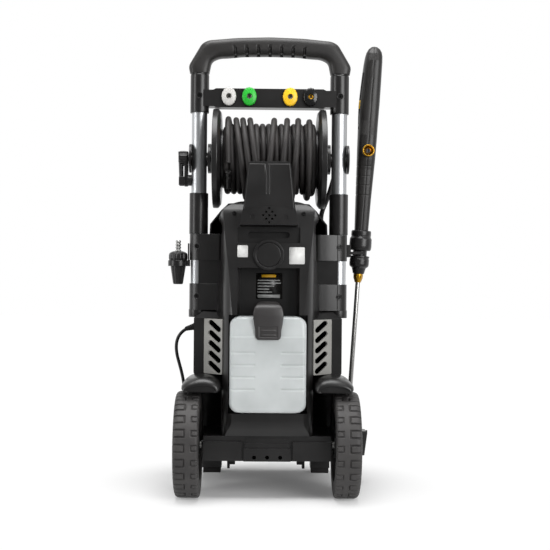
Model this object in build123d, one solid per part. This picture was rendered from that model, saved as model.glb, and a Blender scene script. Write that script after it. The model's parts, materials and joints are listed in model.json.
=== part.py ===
"""Electric pressure washer on two wheels, built as separate pieces.

Millimetres, +Z up. The origin is on the floor, in the plane of symmetry, under the middle
of the machine. The back, with the detergent bottle and the lance, faces -Y.
"""

from build123d import *
from math import cos, hypot, pi, radians, sin, tan
import os

os.makedirs("parts", exist_ok=True)

# Driving dimensions
HEIGHT = 949
WALL = 3
RUN = 0.05  # running clearance on a radius
GAP = 0.3  # between pieces that pass each other

WHEEL_R, WHEEL_X, WHEEL_WIDTH = 107, 160, 50
RIM_R = 74
AXLE_Y, AXLE_Z, AXLE_R = -95, 107, 8

TUBE_X, TUBE_Y, TUBE_R, TUBE_WALL = 146.7, -20, 16, 1.5
TUBE_LOW, TUBE_TOP = 364, 886.5
SLEEVE_R = 19.6
GRIP_SPLIT = 931
RACK_LOW, RACK_HIGH = 799.5, 839
RACK_Y = (-38, -6)
NOZZLE_PITCH, NOZZLE_Z = 42.5, 821.5
SOCKET_R = 8

REEL_Z, FLANGE_R, DRUM_R = 694, 103.5, 61.5
WINDING_R, WINDING_X = 89, 96
LAYER_R = 74.5  # the inner layers of the wound hose
FLANGE_X = (100, 117)
REEL_SHAFT_R = 7

COVER_TOP, BASE_TOP, BASE_LOW = 603, 128, 80
FOOT_X, FOOT_Y, FOOT_HIGH = (103, 143), (174, 206), 12
SPLIT_Y = -40
COLUMN_X, FLANK_X = 128, 146
BAY_X, BAY_Z, BAY_BACK = 79, (174, 371), -84
RECESS_X, RECESS_Z = 62, (371, 465)
SLOT_Z = (515, 547)
CAP_Z, CAP_R = 491, 30.7

BOTTLE_X, BOTTLE_Y, BOTTLE_Z = 76.5, (-150, -86), (176.5, 368)
LID_X, LID_HINGE = 30, (-112, 386)

MOTOR_Y, MOTOR_R, MOTOR_Z = 55, 60, (262, 432)
SHAFT_R = 8

GUN_FOOT, GUN_TILT = (180.5, 40, 225), 3.6
BAND_H, BAND_R = (269.7, 280.7), 15
INLET_H = 494
TRIGGER_PIVOT = (-7, 650)  # X and height in the gun's frame
TURBO_X = -189

CABLE_R, CABLE_EXIT, CABLE_DROP = 3.5, (-152, 10, 341), 15
COIL_MIDDLE, COIL_R, COIL_HIGH = (40, 392), (27, 57), 29
PLUG_Y, PLUG_Z = 430, 19.5

nodes = {}


def save(name, *shapes):
    """Keeps the solids of the shapes as one node."""
    nodes[name] = [solid for shape in shapes for solid in shape.solids()]


def block(x, y, z):
    """A box between the given ranges."""
    middle = [(low + high) / 2 for low, high in (x, y, z)]
    return Pos(*middle) * Box(*[high - low for low, high in (x, y, z)])


def rod(start, end, radius, end_radius=None):
    """A cylinder, or a cone with an end radius, from one point to another."""
    line = Vector(*end) - Vector(*start)
    plane = Plane(origin=start, z_dir=line)
    if end_radius is None:
        return Solid.make_cylinder(radius, line.length, plane)
    return Solid.make_cone(radius, end_radius, line.length, plane)


def ring(start, end, outer, inner):
    """A round tube from one point to another."""
    return rod(start, end, outer) - rod(start, end, inner)


def prism(corners, step, radius):
    """The outline through the corners, rounded by radius, pushed along step."""
    if radius:
        wire = FilletPolyline(*corners, radius=radius, close=True)
    else:
        wire = Polyline(*corners, close=True)
    return extrude(Face(Wire(wire.edges())), amount=Vector(*step).length, dir=step)


def front_prism(points, y, radius=0):
    """An outline drawn in X and Z, pushed along Y."""
    return prism([(px, y[0], pz) for px, pz in points], (0, y[1] - y[0], 0), radius)


def side_prism(points, x, radius=0):
    """An outline drawn in Y and Z, pushed along X."""
    return prism([(x[0], py, pz) for py, pz in points], (x[1] - x[0], 0, 0), radius)


def plan_prism(points, z, radius=0):
    """An outline drawn in X and Y, pushed along Z."""
    return prism([(px, py, z[0]) for px, py in points], (0, 0, z[1] - z[0]), radius)


def symmetric(half):
    """The right half of an outline, from one point on the centre line to another, made whole."""
    return half + [(-px, pz) for px, pz in reversed(half) if px]


def eased(points, most, steps=4):
    """An outline whose inner corners are eased over at most a given length, in short straight steps."""
    line = [points[0]]
    for (ax, ay), (bx, by), (cx, cy) in zip(points, points[1:], points[2:]):
        back, onward = hypot(ax - bx, ay - by), hypot(cx - bx, cy - by)
        cut = min(most, 0.48 * back, 0.48 * onward)
        start = (bx + (ax - bx) * cut / back, by + (ay - by) * cut / back)
        end = (bx + (cx - bx) * cut / onward, by + (cy - by) * cut / onward)
        for index in range(steps + 1):
            t = index / steps
            line.append(tuple((1 - t) ** 2 * s + 2 * t * (1 - t) * b + t * t * e
                              for s, b, e in zip(start, (bx, by), end)))
    return line + [points[-1]]


def largest(shape):
    """The biggest solid of a shape, without the slivers that a cut leaves."""
    return max(shape.solids(), key=lambda solid: solid.volume)


def flip(shape):
    """The same shape on the other side of the machine."""
    return mirror(shape, about=Plane.YZ)


def lathe_x(points):
    """A profile of (x, radius) points turned about the X axis."""
    profile = Polyline(*[(px, 0, pr) for px, pr in points], close=True)
    return revolve(Face(Wire(profile.edges())), axis=Axis.X)


def lathe_z(points):
    """A profile of (radius, z) points turned about the Z axis."""
    profile = Polyline(*[(pr, 0, pz) for pr, pz in points], close=True)
    return revolve(Face(Wire(profile.edges())), axis=Axis.Z)


# ---------------------------------------------------------------- handle frame
def frame():
    """Two tubes, the grip on top with its cover, and the nozzle rack between them."""
    shaft_hole = rod((-200, TUBE_Y, REEL_Z), (200, TUBE_Y, REEL_Z), REEL_SHAFT_R + RUN)
    low, top = (TUBE_X, TUBE_Y, TUBE_LOW), (TUBE_X, TUBE_Y, TUBE_TOP)
    tube = ring(low, top, TUBE_R, TUBE_R - TUBE_WALL) - shaft_hole
    save("frame_tube_right", tube)
    save("frame_tube_left", flip(tube))

    hollow = rod(low, top, TUBE_R)
    sleeve = rod((TUBE_X, TUBE_Y, 789), (TUBE_X, TUBE_Y, 890), SLEEVE_R) - hollow
    y = (TUBE_Y - 19, TUBE_Y + 19)
    under = symmetric([(0, 904), (112, 904), (128, 884), (128, 886.5), (171, 886.5),
                       (171, 890), (146, GRIP_SPLIT), (0, GRIP_SPLIT)])
    grip = front_prism(under, y)
    grip = fillet(grip.edges().filter_by(Axis.X).group_by(Axis.Z)[1], 9)
    notches = [block((px - 5, px + 5), (y[0] - 1, y[0] + 3), (909, 930))
               for px in [(index - 3.5) * 24 for index in range(8)]]
    save("handle_grip", grip + sleeve + flip(sleeve) - notches)

    over = symmetric([(0, GRIP_SPLIT), (146, GRIP_SPLIT), (139, 942), (100, 946.5), (0, HEIGHT)])
    cover = front_prism(over, y)
    save("handle_cover", cover)

    low_sleeve = ring((TUBE_X, TUBE_Y, 535.5), (TUBE_X, TUBE_Y, 621), SLEEVE_R, TUBE_R)
    save("tube_sleeves", low_sleeve, flip(low_sleeve))

    end = TUBE_X - 8
    bar = front_prism(symmetric([(0, RACK_LOW), (112, RACK_LOW), (116, RACK_LOW + 2), (end, RACK_LOW + 2),
                                 (end, RACK_HIGH - 3), (118, RACK_HIGH - 3), (112, RACK_HIGH),
                                 (0, RACK_HIGH)]), RACK_Y)
    for px in nozzle_places():
        bar -= rod((px, RACK_Y[0] - 1, NOZZLE_Z), (px, RACK_Y[1] - 6, NOZZLE_Z), SOCKET_R + RUN)
    for side in (-1, 1):
        bar -= rod((side * TUBE_X, TUBE_Y, 780), (side * TUBE_X, TUBE_Y, 860), SLEEVE_R)
    save("nozzle_rack", bar)


def nozzle_places():
    """The X of the four nozzles in the rack."""
    return [place * NOZZLE_PITCH for place in (-2, -1, 1, 2)]


def spray_nozzles():
    """Four quick-change nozzles, each with an oval collar and a stem in the rack."""
    front = RACK_Y[0]
    names = ("nozzle_wide", "nozzle_green", "nozzle_yellow", "nozzle_soap")
    for name, px in zip(names, nozzle_places()):
        collar = extrude(Plane((px, front, NOZZLE_Z), x_dir=(1, 0, 0), z_dir=(0, -1, 0))
                         * Ellipse(15, 19), 9)
        stem = rod((px, front, NOZZLE_Z), (px, RACK_Y[1] - 8, NOZZLE_Z), SOCKET_R)
        tip = rod((px, front - 9, NOZZLE_Z), (px, front - 13, NOZZLE_Z), 9, 7)
        bore = rod((px, front - 14, NOZZLE_Z), (px, front - 2, NOZZLE_Z), 3)
        save(name, collar + stem + tip - bore)


# ---------------------------------------------------------------- housing
def front_outline(inset):
    """The outline of the front shell in X and Z, moved in by inset."""
    return symmetric([(0, 604 - inset), (84 - inset, 599 - inset), (99 - inset, 585 - inset),
                      (122 - inset, 556), (126 - inset, 470), (COLUMN_X + 2 - inset, 378),
                      (152 - inset, 362), (152 - inset, 250), (FLANK_X - inset, 236),
                      (FLANK_X - inset, BASE_TOP), (0, BASE_TOP)])


def front_profile(inset):
    """The side profile of the front shell in Y and Z, moved in by inset."""
    return [(-72, BASE_TOP), (-72, 362 - inset), (SPLIT_Y, 378 - inset), (SPLIT_Y, 604 - inset),
            (42 - inset, 602 - inset), (98 - inset, 560 - inset), (140 - inset, 450),
            (174 - inset, 330), (196 - inset, 210), (202 - inset, BASE_TOP)]


def wheel_well(radius, inner_x):
    """The round space that a rear wheel takes out of the housing, on both sides."""
    right = rod((inner_x, AXLE_Y, AXLE_Z), (210, AXLE_Y, AXLE_Z), radius)
    return right + flip(right)


def front_cover():
    """The big front shell, open towards the back and downwards."""
    outer = front_prism(front_outline(0), (-72, 205)) & side_prism(front_profile(0), (-160, 160))
    cavity = (front_prism(front_outline(WALL), (-80, 205))
              & side_prism(front_profile(WALL), (-160, 160))) - wheel_well(118, 91)
    flank = block((COLUMN_X, 160), (-80, -69), (240, 380))
    cavity -= [flank, flip(flank)]
    boss = rod((0, 120, 430), (0, 152, 430), 34) - rod((0, 110, 430), (0, 147, 430), 31)
    bore = rod((0, 100, 430), (0, 160, 430), 6 + RUN)
    shell = outer - wheel_well(115, 94) - cavity
    lip = rod((0, 147, 430), (0, 152, 430), 34)
    shell = shell - rod((0, 60, 430), (0, 160, 430), 34) + boss + lip - bore
    shell -= rod((-60, 150, 170), (-60, 230, 170), 13)
    shell -= rod((-160, 10, CABLE_EXIT[2]), (-140, 10, CABLE_EXIT[2]), 7)
    tubes = rod((TUBE_X, TUBE_Y, 340), (TUBE_X, TUBE_Y, 640), TUBE_R)
    shell -= [tubes, flip(tubes), feed_hole()]
    save("front_cover", shell)


def feed_hole():
    """The hole at the top of the front shell for the reel's feed hose."""
    return rod((113, 42, 540), (113, 42, 600), 5.3)


def ear(z):
    """The side of the back shell that cradles the inner half of a tube."""
    shape = block((90, 145), (-43, SPLIT_Y + 30), z)
    return shape - rod((TUBE_X, TUBE_Y, z[0] - 1), (TUBE_X, TUBE_Y, z[1] + 1), TUBE_R)


def rear_outline(inset):
    """The outline of the back shell in X and Z, moved in by inset."""
    side = eased([(0, COVER_TOP - inset), (64, 600 - inset), (92 - inset, 586 - inset),
                  (106 - inset, 566), (95 - inset, 553), (99 - inset, 461), (107 - inset, 367),
                  (97 - inset, 340), (92 - inset, 240), (92 - inset, BASE_TOP)], 12)
    return symmetric(side + [(0, BASE_TOP)])


def rear_profile(inset):
    """The side profile of the back shell in Y and Z, moved in by inset."""
    back = eased([(SPLIT_Y, COVER_TOP - inset), (-90, COVER_TOP - inset), (-108 + inset, 584),
                  (-116 + inset, 548), (-124 + inset, 515), (-132 + inset, 465), (-138 + inset, 371),
                  (-138 + inset, 150), (-126 + inset, BASE_TOP)], 14)
    return [(SPLIT_Y, BASE_TOP)] + back


def rear_plan(inset):
    """The plan of the back shell in X and Y, its corners rounded off, moved in by inset."""
    side = eased([(0, -145 + inset), (66, -142 + inset), (82 - inset, -131 + inset),
                  (90 - inset, -118), (94 - inset, -100), (98 - inset, -75), (104 - inset, -55),
                  (118 - inset, SPLIT_Y), (118 - inset, 0)], 14)
    return symmetric(side + [(0, 0)])


def bottle_bay(grow):
    """The room for the bottle and the recess over its lid with its drafted sides, grown on all sides."""
    bay = block((-BAY_X - grow, BAY_X + grow), (-170, BAY_BACK + grow),
                (BAY_Z[0] - grow, BAY_Z[1] + grow))
    wide, narrow = RECESS_X + grow, RECESS_X - 3.8 + grow
    recess = plan_prism(symmetric([(0, -170), (wide, -170), (wide, -131), (narrow, -112),
                                   (narrow, BAY_BACK + grow), (0, BAY_BACK + grow)]),
                        (RECESS_Z[0] - 1, RECESS_Z[1] + grow))
    return bay + recess


def rear_cover():
    """The back shell: bottle bay, lid recess, finger slot and the cradles for the tubes."""
    outer = front_prism(rear_outline(0), (-150, SPLIT_Y)) & side_prism(rear_profile(0), (-130, 130))
    outer &= plan_prism(rear_plan(0), (100, 620))
    cavity = (front_prism(rear_outline(WALL), (-150, SPLIT_Y + 5))
              & side_prism(rear_profile(WALL), (-130, 130)) & plan_prism(rear_plan(WALL), (100, 620)))
    cavity -= bottle_bay(WALL)
    cavity -= block((-66, 66), (-150, -96), (510, 552))
    shell = outer - cavity - bottle_bay(0)
    shell -= block((-63, 63), (-150, -113), SLOT_Z)
    shell -= block((-35.5, 35.5), (-150, -99), (525, 538))
    for px in (-35.5, 35.5):
        shell -= rod((px, -150, 531.5), (px, -99, 531.5), 6.5)
    shell -= rod((0, -160, CAP_Z), (0, -122, CAP_Z), CAP_R)
    cradle = ear((378, 535))
    save("rear_cover", shell + cradle + flip(cradle) - nodes["front_cover"])


def holster():
    """The open box over the back shell, for the gun or small tools."""
    outer = front_prism(symmetric([(0, 550), (58, 550), (51, 588), (42, 676), (0, 676)]), (-152, -112))
    outer = fillet(outer.edges().filter_by(Axis.Y).group_by(Axis.Z)[-1], 8)
    room = front_prism(symmetric([(0, 566), (50, 566), (38.5, 690), (0, 690)]), (-149, -115))
    holes = [rod((px, -160, pz), (px, -110, pz), 2.2)
             for px, pz in [(dx * 6, 569 + dz * 7) for dx, dz in
                            ((0, 2), (-1, 1), (1, 1), (-2, 0), (0, 0), (2, 0), (-1, -1), (1, -1), (0, -2))]]
    holes += [rod((px, -153, 566), (px, -150, 566), 4.6) for px in (-33, 33)]
    save("holster", largest(outer - room - holes - nodes["rear_cover"]))


def clamps():
    """Two clamps a side hold the tubes against the back shell."""
    for name, z, band in (("clamps_upper", (481, 535), 481), ("clamps_lower", (377, 432), 362)):
        plate = block((100, 146), (-49, -42.9), z)
        wrap = block((142, 166), (-49, -12), z)
        foot = ring((TUBE_X, TUBE_Y, band), (TUBE_X, TUBE_Y, z[1]), 19.3, TUBE_R)
        tube = rod((TUBE_X, TUBE_Y, 300), (TUBE_X, TUBE_Y, 600), TUBE_R)
        clamp = plate + wrap + foot - tube
        clamp -= rod((160, -60, z[0] + 28), (160, -44, z[0] + 28), 5)
        for other in ("rear_cover", "front_cover"):
            clamp -= nodes[other]
        clamp = largest(clamp)
        save(name, clamp, flip(clamp))


def trim():
    """The round access cap, the air grilles and the fenders over the wheels."""
    knob = rod((0, -137, CAP_Z), (0, -122, CAP_Z), CAP_R - GAP)
    save("access_cap", knob - ring((0, -138, CAP_Z), (0, -135, CAP_Z), 25.5, 23.5))

    slope = [(90, -110), (92, -114), (131, -76), (131, -72)]
    grille = plan_prism(slope, (249, 361))
    for index in range(5):
        grille -= Pos(107, -90, 264 + 20.8 * index) * Rot(0, -40, 0) * Box(25.6, 60, 9)
    for other in ("rear_cover", "front_cover"):
        grille -= nodes[other]
    grille = largest(grille)
    save("vent_grilles", grille, flip(grille))

    dome = front_prism([(96, 217), (168, 217), (173, 222), (172, 231), (161, 241), (140, 248), (120, 249),
                        (104, 244), (95, 234), (93, 224)], (-150, 0))
    dome &= side_prism([(-150, 217), (-150, 229), (-140, 241), (-118, 249), (-30, 249), (-8, 241), (0, 229),
                        (0, 217)], (80, 180))
    dome = dome - block((88, 168), (-146, -4), (216, 222))
    for other in ("rear_cover", "front_cover", "vent_grilles"):
        dome -= nodes[other]
    save("fenders", dome, flip(dome))


def lance_shelf():
    """The shelf beside the right wheel that the tip of the lance stands on, with its fin."""
    shelf = front_prism([(126, 118), (217, 118), (217, 111), (211, 64), (206, 64), (200, 106),
                         (126, 106)], (36, 42))
    shelf += block((126, 213), (36, 58), (113, 118)) + block((144, 213), (22, 58), (113, 118))
    for y in ((24, 27), (53, 56)):
        shelf += block((156, 190), y, (117, 130))
    return shelf


def tray(inset):
    """The closed tray, lower in front than between the wheels, moved in by inset."""
    rear, wide = COLUMN_X - inset, 150 - inset
    plan = symmetric([(0, -125 + inset), (rear, -125 + inset), (rear, 16 + inset), (wide, 22 + inset),
                      (wide, 208 - inset), (0, 208 - inset)])
    side = [(-130, BASE_LOW + inset), (32, BASE_LOW + inset), (60, 46 + inset), (210, 22 + inset),
            (210, BASE_TOP - inset), (-130, BASE_TOP - inset)]
    return plan_prism(plan, (0, 140)) & side_prism(side, (-160, 160))


def base():
    """The tray that carries the housing, the axle and the two front feet."""
    body = tray(0) - tray(WALL)
    for side in (-1, 1):
        foot = side * sum(FOOT_X) / 2
        body += rod((side * 50, AXLE_Y, AXLE_Z), (side * 132, AXLE_Y, AXLE_Z), 15)
        body += block((foot - 22, foot + 22), (FOOT_Y[0] - 2, 208), (FOOT_HIGH, 60))
        body += block((side * 79.5 - 9, side * 79.5 + 9), (178, 202), (18, 40))
        body += block((side * 85.5 - 3, side * 85.5 + 3), (178, 202), (9, 18))
        body += block((side * 89.5 - 38.5, side * 89.5 + 38.5), (-130, -120), (BASE_LOW - 1.5, 117))
        body -= block((side * 49 - 2, side * 49 + 2), (-140, -123), (70, 118))
    body += block((-47, 47), (-132, -118), (BASE_LOW - 2, 104))
    body += block((-45, 45), (-128.5, -118), (104, 114)) + block((-43, 43), (-126.6, -118), (114, 124))
    for px in (-26, 0, 26):
        body -= rod((px, -140, 86), (px, -110, 86), 4)
    body -= rod((-200, AXLE_Y, AXLE_Z), (200, AXLE_Y, AXLE_Z), AXLE_R)
    save("base_tray", body + lance_shelf())
    foot = block(FOOT_X, FOOT_Y, (0, FOOT_HIGH))
    save("front_feet", foot, flip(foot))
    end = WHEEL_X + WHEEL_WIDTH / 2 - 2
    save("axle", rod((-end, AXLE_Y, AXLE_Z), (end, AXLE_Y, AXLE_Z), AXLE_R))


def screws():
    """The screws of the back shell and the clamps, all of one kind."""
    heads = []
    for px, y, pz in ((-70, -112, 575), (70, -112, 575), (TUBE_X, TUBE_Y - SLEEVE_R - 1.5, 824),
                      (-TUBE_X, TUBE_Y - SLEEVE_R - 1.5, 824), (160, -46, 509), (-160, -46, 509),
                      (160, -46, 405), (-160, -46, 405)):
        head = rod((px, y, pz), (px, y + 3, pz), 4)
        slot = block((px - 3, px + 3), (y - 1, y + 1), (pz - 0.6, pz + 0.6))
        head = head - slot - block((px - 0.6, px + 0.6), (y - 1, y + 1), (pz - 3, pz + 3))
        for other in ("rear_cover", "handle_grip", "clamps_upper", "clamps_lower"):
            for solid in nodes[other]:
                head -= solid
        heads.append(head)
    save("screws", *heads)


# ---------------------------------------------------------------- wheels
def wheels():
    """A ribbed tyre on a plastic rim with a hub cap, on both ends of the axle."""
    half = WHEEL_WIDTH / 2
    tyre = lathe_x([(-half, RIM_R), (-half, 103), (-half + 3, WHEEL_R), (half - 8, WHEEL_R),
                    (half - 2, 104), (half, 98), (half, RIM_R)])
    for index in range(24):
        turn = Rot(360 / 24 * index, 0, 0)
        tyre -= turn * Pos(14, 0, WHEEL_R) * Box(22, 6, 5)
        if index % 2 == 0:
            tyre -= turn * Pos(-14, 0, WHEEL_R) * Box(22, 8, 5)
    rim = lathe_x([(-half + 6, 62), (-half + 6, RIM_R), (half - 6, RIM_R), (half - 6, 62)])
    rim += lathe_x([(-6, 20), (-6, 64), (0, 64), (6, 20)])
    rim += lathe_x([(-half + 1, AXLE_R + RUN), (-half + 1, 22), (half - 3, 22), (half - 3, AXLE_R + RUN)])
    for index in range(6):
        rim -= Rot(60 * index, 0, 0) * rod((-30, 0, 44), (30, 0, 44), 11)
    cap = lathe_x([(half - 1.8, 0), (half - 1.8, 20), (half, 18), (half + 1.5, 8), (half + 1.5, 0)])
    rim += ring((half - 4, 0, 0), (half - 1.8, 0, 0), 22, 18)
    for name, side in (("left", -1), ("right", 1)):
        at = Pos(side * WHEEL_X, AXLE_Y, AXLE_Z)
        pieces = [tyre, rim + cap] if side > 0 else [flip(tyre), flip(rim + cap)]
        save("tyre_" + name, at * pieces[0])
        save("rim_" + name, at * pieces[1])


# ---------------------------------------------------------------- hose reel
def reel():
    """The drum between two dished flanges, the wound hose, the crank and its brackets."""
    drum = lathe_x([(-FLANGE_X[0], 54), (-FLANGE_X[0], DRUM_R), (FLANGE_X[0], DRUM_R), (FLANGE_X[0], 54)])
    flange = lathe_x([(FLANGE_X[0], REEL_SHAFT_R), (FLANGE_X[0], FLANGE_R - 8), (106, FLANGE_R),
                      (FLANGE_X[1], FLANGE_R), (FLANGE_X[1], FLANGE_R - 3), (109, FLANGE_R - 8),
                      (106, 60), (112, 26), (118, 26), (118, REEL_SHAFT_R)])
    shaft = rod((-178.5, 0, 0), (150, 0, 0), REEL_SHAFT_R)
    at = Pos(0, TUBE_Y, REEL_Z)
    save("reel_drum", at * (drum + flange + flip(flange) + shaft))
    winding = lathe_x([(-WINDING_X, DRUM_R + GAP), (-WINDING_X, LAYER_R), (-76, LAYER_R),
                       (-76, WINDING_R), (WINDING_X, WINDING_R), (WINDING_X, DRUM_R + GAP)])
    save("hose_winding", at * winding)
    turn = at * Rot(37, 0, 0)
    save("hose_connector", turn * rod((-84, -82, 20), (-84, -82, -20), 7))

    discs = rod((122, TUBE_Y, REEL_Z), (128, TUBE_Y, REEL_Z), 31)
    discs += rod((163.2, TUBE_Y, REEL_Z), (167, TUBE_Y, REEL_Z), 30)
    neck = block((124, 166), (-8, 9), (680, 708))
    bore = rod((100, TUBE_Y, REEL_Z), (180, TUBE_Y, REEL_Z), REEL_SHAFT_R + RUN)
    tube = rod((TUBE_X, TUBE_Y, 600), (TUBE_X, TUBE_Y, 800), TUBE_R)
    bracket = discs + neck - tube - bore
    save("reel_brackets", bracket, flip(bracket))

    hub = rod((-190, 0, 0), (-169, 0, 0), 15)
    arm = side_prism([(-12, 0), (-9, -58), (9, -58), (12, 0)], (-178, -169), 2)
    boss = rod((-169, 0, -46), (-165, 0, -46), 12)
    slot = block((-192, -178.5), (-10, 10), (-64, 20))
    crank = hub + arm + boss - slot
    for side in (-1, 1):
        crank += block((-187, -177), (side * 10.5 - 1.5, side * 10.5 + 1.5), (-56, -40))
    crank -= rod((-178.5, 0, 0), (-160, 0, 0), REEL_SHAFT_R)
    crank -= rod((-182, -13, -48), (-182, 13, -48), 2 + RUN)
    save("crank_arm", at * crank)
    pivot = rod((-182, -12, -48), (-182, 12, -48), 2)
    grip = rod((-183.5, 0, -50.5), (-185.5, 0, 14), 4.5, 5.5)
    save("crank_grip", at * (grip + pivot))


def feed_hose():
    """The short hose from the pump to the hub of the reel, held at both ends."""
    points = [(113, 42, 558), (114, 43, 586), (126, 42, 614), (135, 38, 643), (142, 30, 671),
              (146.7, 15, 688), (146.7, -1, 692)]
    hose = cable_tube(points, 5, "reel feed hose")
    for solid in nodes["reel_brackets"]:
        hose -= solid
    save("reel_feed_hose", hose)


# ---------------------------------------------------------------- bottle and inside
def bottle():
    """The detergent bottle with its neck, and the hinged lid that hooks over its front."""
    body = block((-BOTTLE_X, BOTTLE_X), BOTTLE_Y, BOTTLE_Z)
    body = fillet(body.edges().filter_by(Axis.Y), 18)
    body = fillet(body.edges().group_by(Axis.Y)[0], 6)
    inner = block((-BOTTLE_X + 2, BOTTLE_X - 2), (BOTTLE_Y[0] + 2, BOTTLE_Y[1] - 2),
                  (BOTTLE_Z[0] + 2, BOTTLE_Z[1] - 2))
    inner = fillet(inner.edges().filter_by(Axis.Y), 16)
    neck = ring((0, -124, BOTTLE_Z[1] - 3), (0, -124, 382), 18.9, 16)
    mouth = rod((0, -124, BOTTLE_Z[1] - 4), (0, -124, 390), 16)
    save("bottle", body - inner - mouth + neck)
    base = ring((0, -124, 370), (0, -124, 382), 23, 18.9)
    knuckle = rod((-24, *LID_HINGE), (-14, *LID_HINGE), 3.2)
    web = block((-24, -14), (-114, -110), (378, 386)) - rod((0, -124, 370), (0, -124, 390), 18.9)
    collar = base + web + knuckle + flip(web) + flip(knuckle)
    save("bottle_collar", collar - rod((-30, *LID_HINGE), (30, *LID_HINGE), 1.5))
    top = side_prism([(-156, 372), (-151, 391), (-134, 399), (-118, 397), (-111, 392), (-111, 387),
                      (-118, 390.5), (-134, 394.5), (-146, 388), (-151, 372)], (-LID_X, LID_X))
    for side in (-1, 1):
        top -= rod((side * 13.8, *LID_HINGE), (side * 31, *LID_HINGE), 3.8)
        top -= block((side * 19 - 5.4, side * 19 + 5.4), (-118, -106), (370, 388))
    tab = block((-LID_X, LID_X), (-156, -151), (322, 374))
    round_front = symmetric([(0, 322), (22, 322), (25, 326), (26, 340), (29, 352), (LID_X, 364),
                             (LID_X, 375), (26.5, 386), (19, 394.5), (9, 399), (0, 400)])
    top = (top + tab) & front_prism(round_front, (-160, -100))
    hinge = rod((-13.5, *LID_HINGE), (13.5, *LID_HINGE), 3.2)
    pin = rod((-24, *LID_HINGE), (24, *LID_HINGE), 1.5 - RUN)
    link = block((-13.5, 13.5), (-115, -110), (387, 392))
    save("filler_lid", top + hinge + pin + link)


def centre(z):
    """A point of the motor's axis."""
    return (0, MOTOR_Y, z)


def inside():
    """Motor, rotor with its fan, pump, electric box, water inlet and the switch knob."""
    low, high = MOTOR_Z
    casing = rod(centre(low), centre(high), MOTOR_R)
    casing -= rod(centre(low + 6), centre(high - 6), MOTOR_R - WALL)
    save("motor_casing", casing - rod(centre(low - 1), centre(high + 1), SHAFT_R + RUN))
    rotor = rod(centre(low - 12), centre(high + 26), SHAFT_R) + rod(centre(low + 30), centre(high - 40), 36)
    rotor += rod(centre(high + 4), centre(high + 8), 50)
    for index in range(8):
        turn = Pos(*centre(0)) * Rot(0, 0, 45 * index)
        rotor += turn * block((14, 49), (-1, 1), (high + 7, high + 24))
    save("motor_rotor", rotor)
    pump = block((-48, 48), (10, 100), (BASE_TOP + 4, low - 0.5))
    for px in (-26, 0, 26):
        pump += rod((px, 0, 190), (px, 12, 190), 11)
    pump -= rod(centre(low - 13), centre(low + 1), SHAFT_R + RUN)
    pump += rod((-60, 90, 170), (-40, 90, 170), 12)
    save("pump", pump)
    save("electric_box", block((-45, 45), (-20, 40), (470, 560)))
    spout = rod((-60, 90, 170), (-60, 205, 170), 8) + rod((-60, 192, 170), (-60, 208, 170), 13)
    spout += rod((-60, 208, 170), (-60, 228, 170), 8.5) - ring((-60, 219, 170), (-60, 223, 170), 9, 7.5)
    spout -= rod((-60, 150, 170), (-60, 229, 170), 5)
    save("water_inlet", spout - nodes["pump"])
    dial = rod((0, 152 + GAP, 430), (0, 170, 430), 27, 25) + rod((0, 132, 430), (0, 153, 430), 6)
    for side in (-1, 1):
        dial -= block((side * 16.5 - 10.5, side * 16.5 + 10.5), (160, 172), (400, 460))
    save("switch_knob", dial)


# ---------------------------------------------------------------- gun, lance, turbo nozzle
def tilted(shape):
    """From the gun's upright frame, whose Z runs up the lance, to where the gun is parked."""
    return Pos(*GUN_FOOT) * Rot(0, GUN_TILT, 0) * shape


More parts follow.
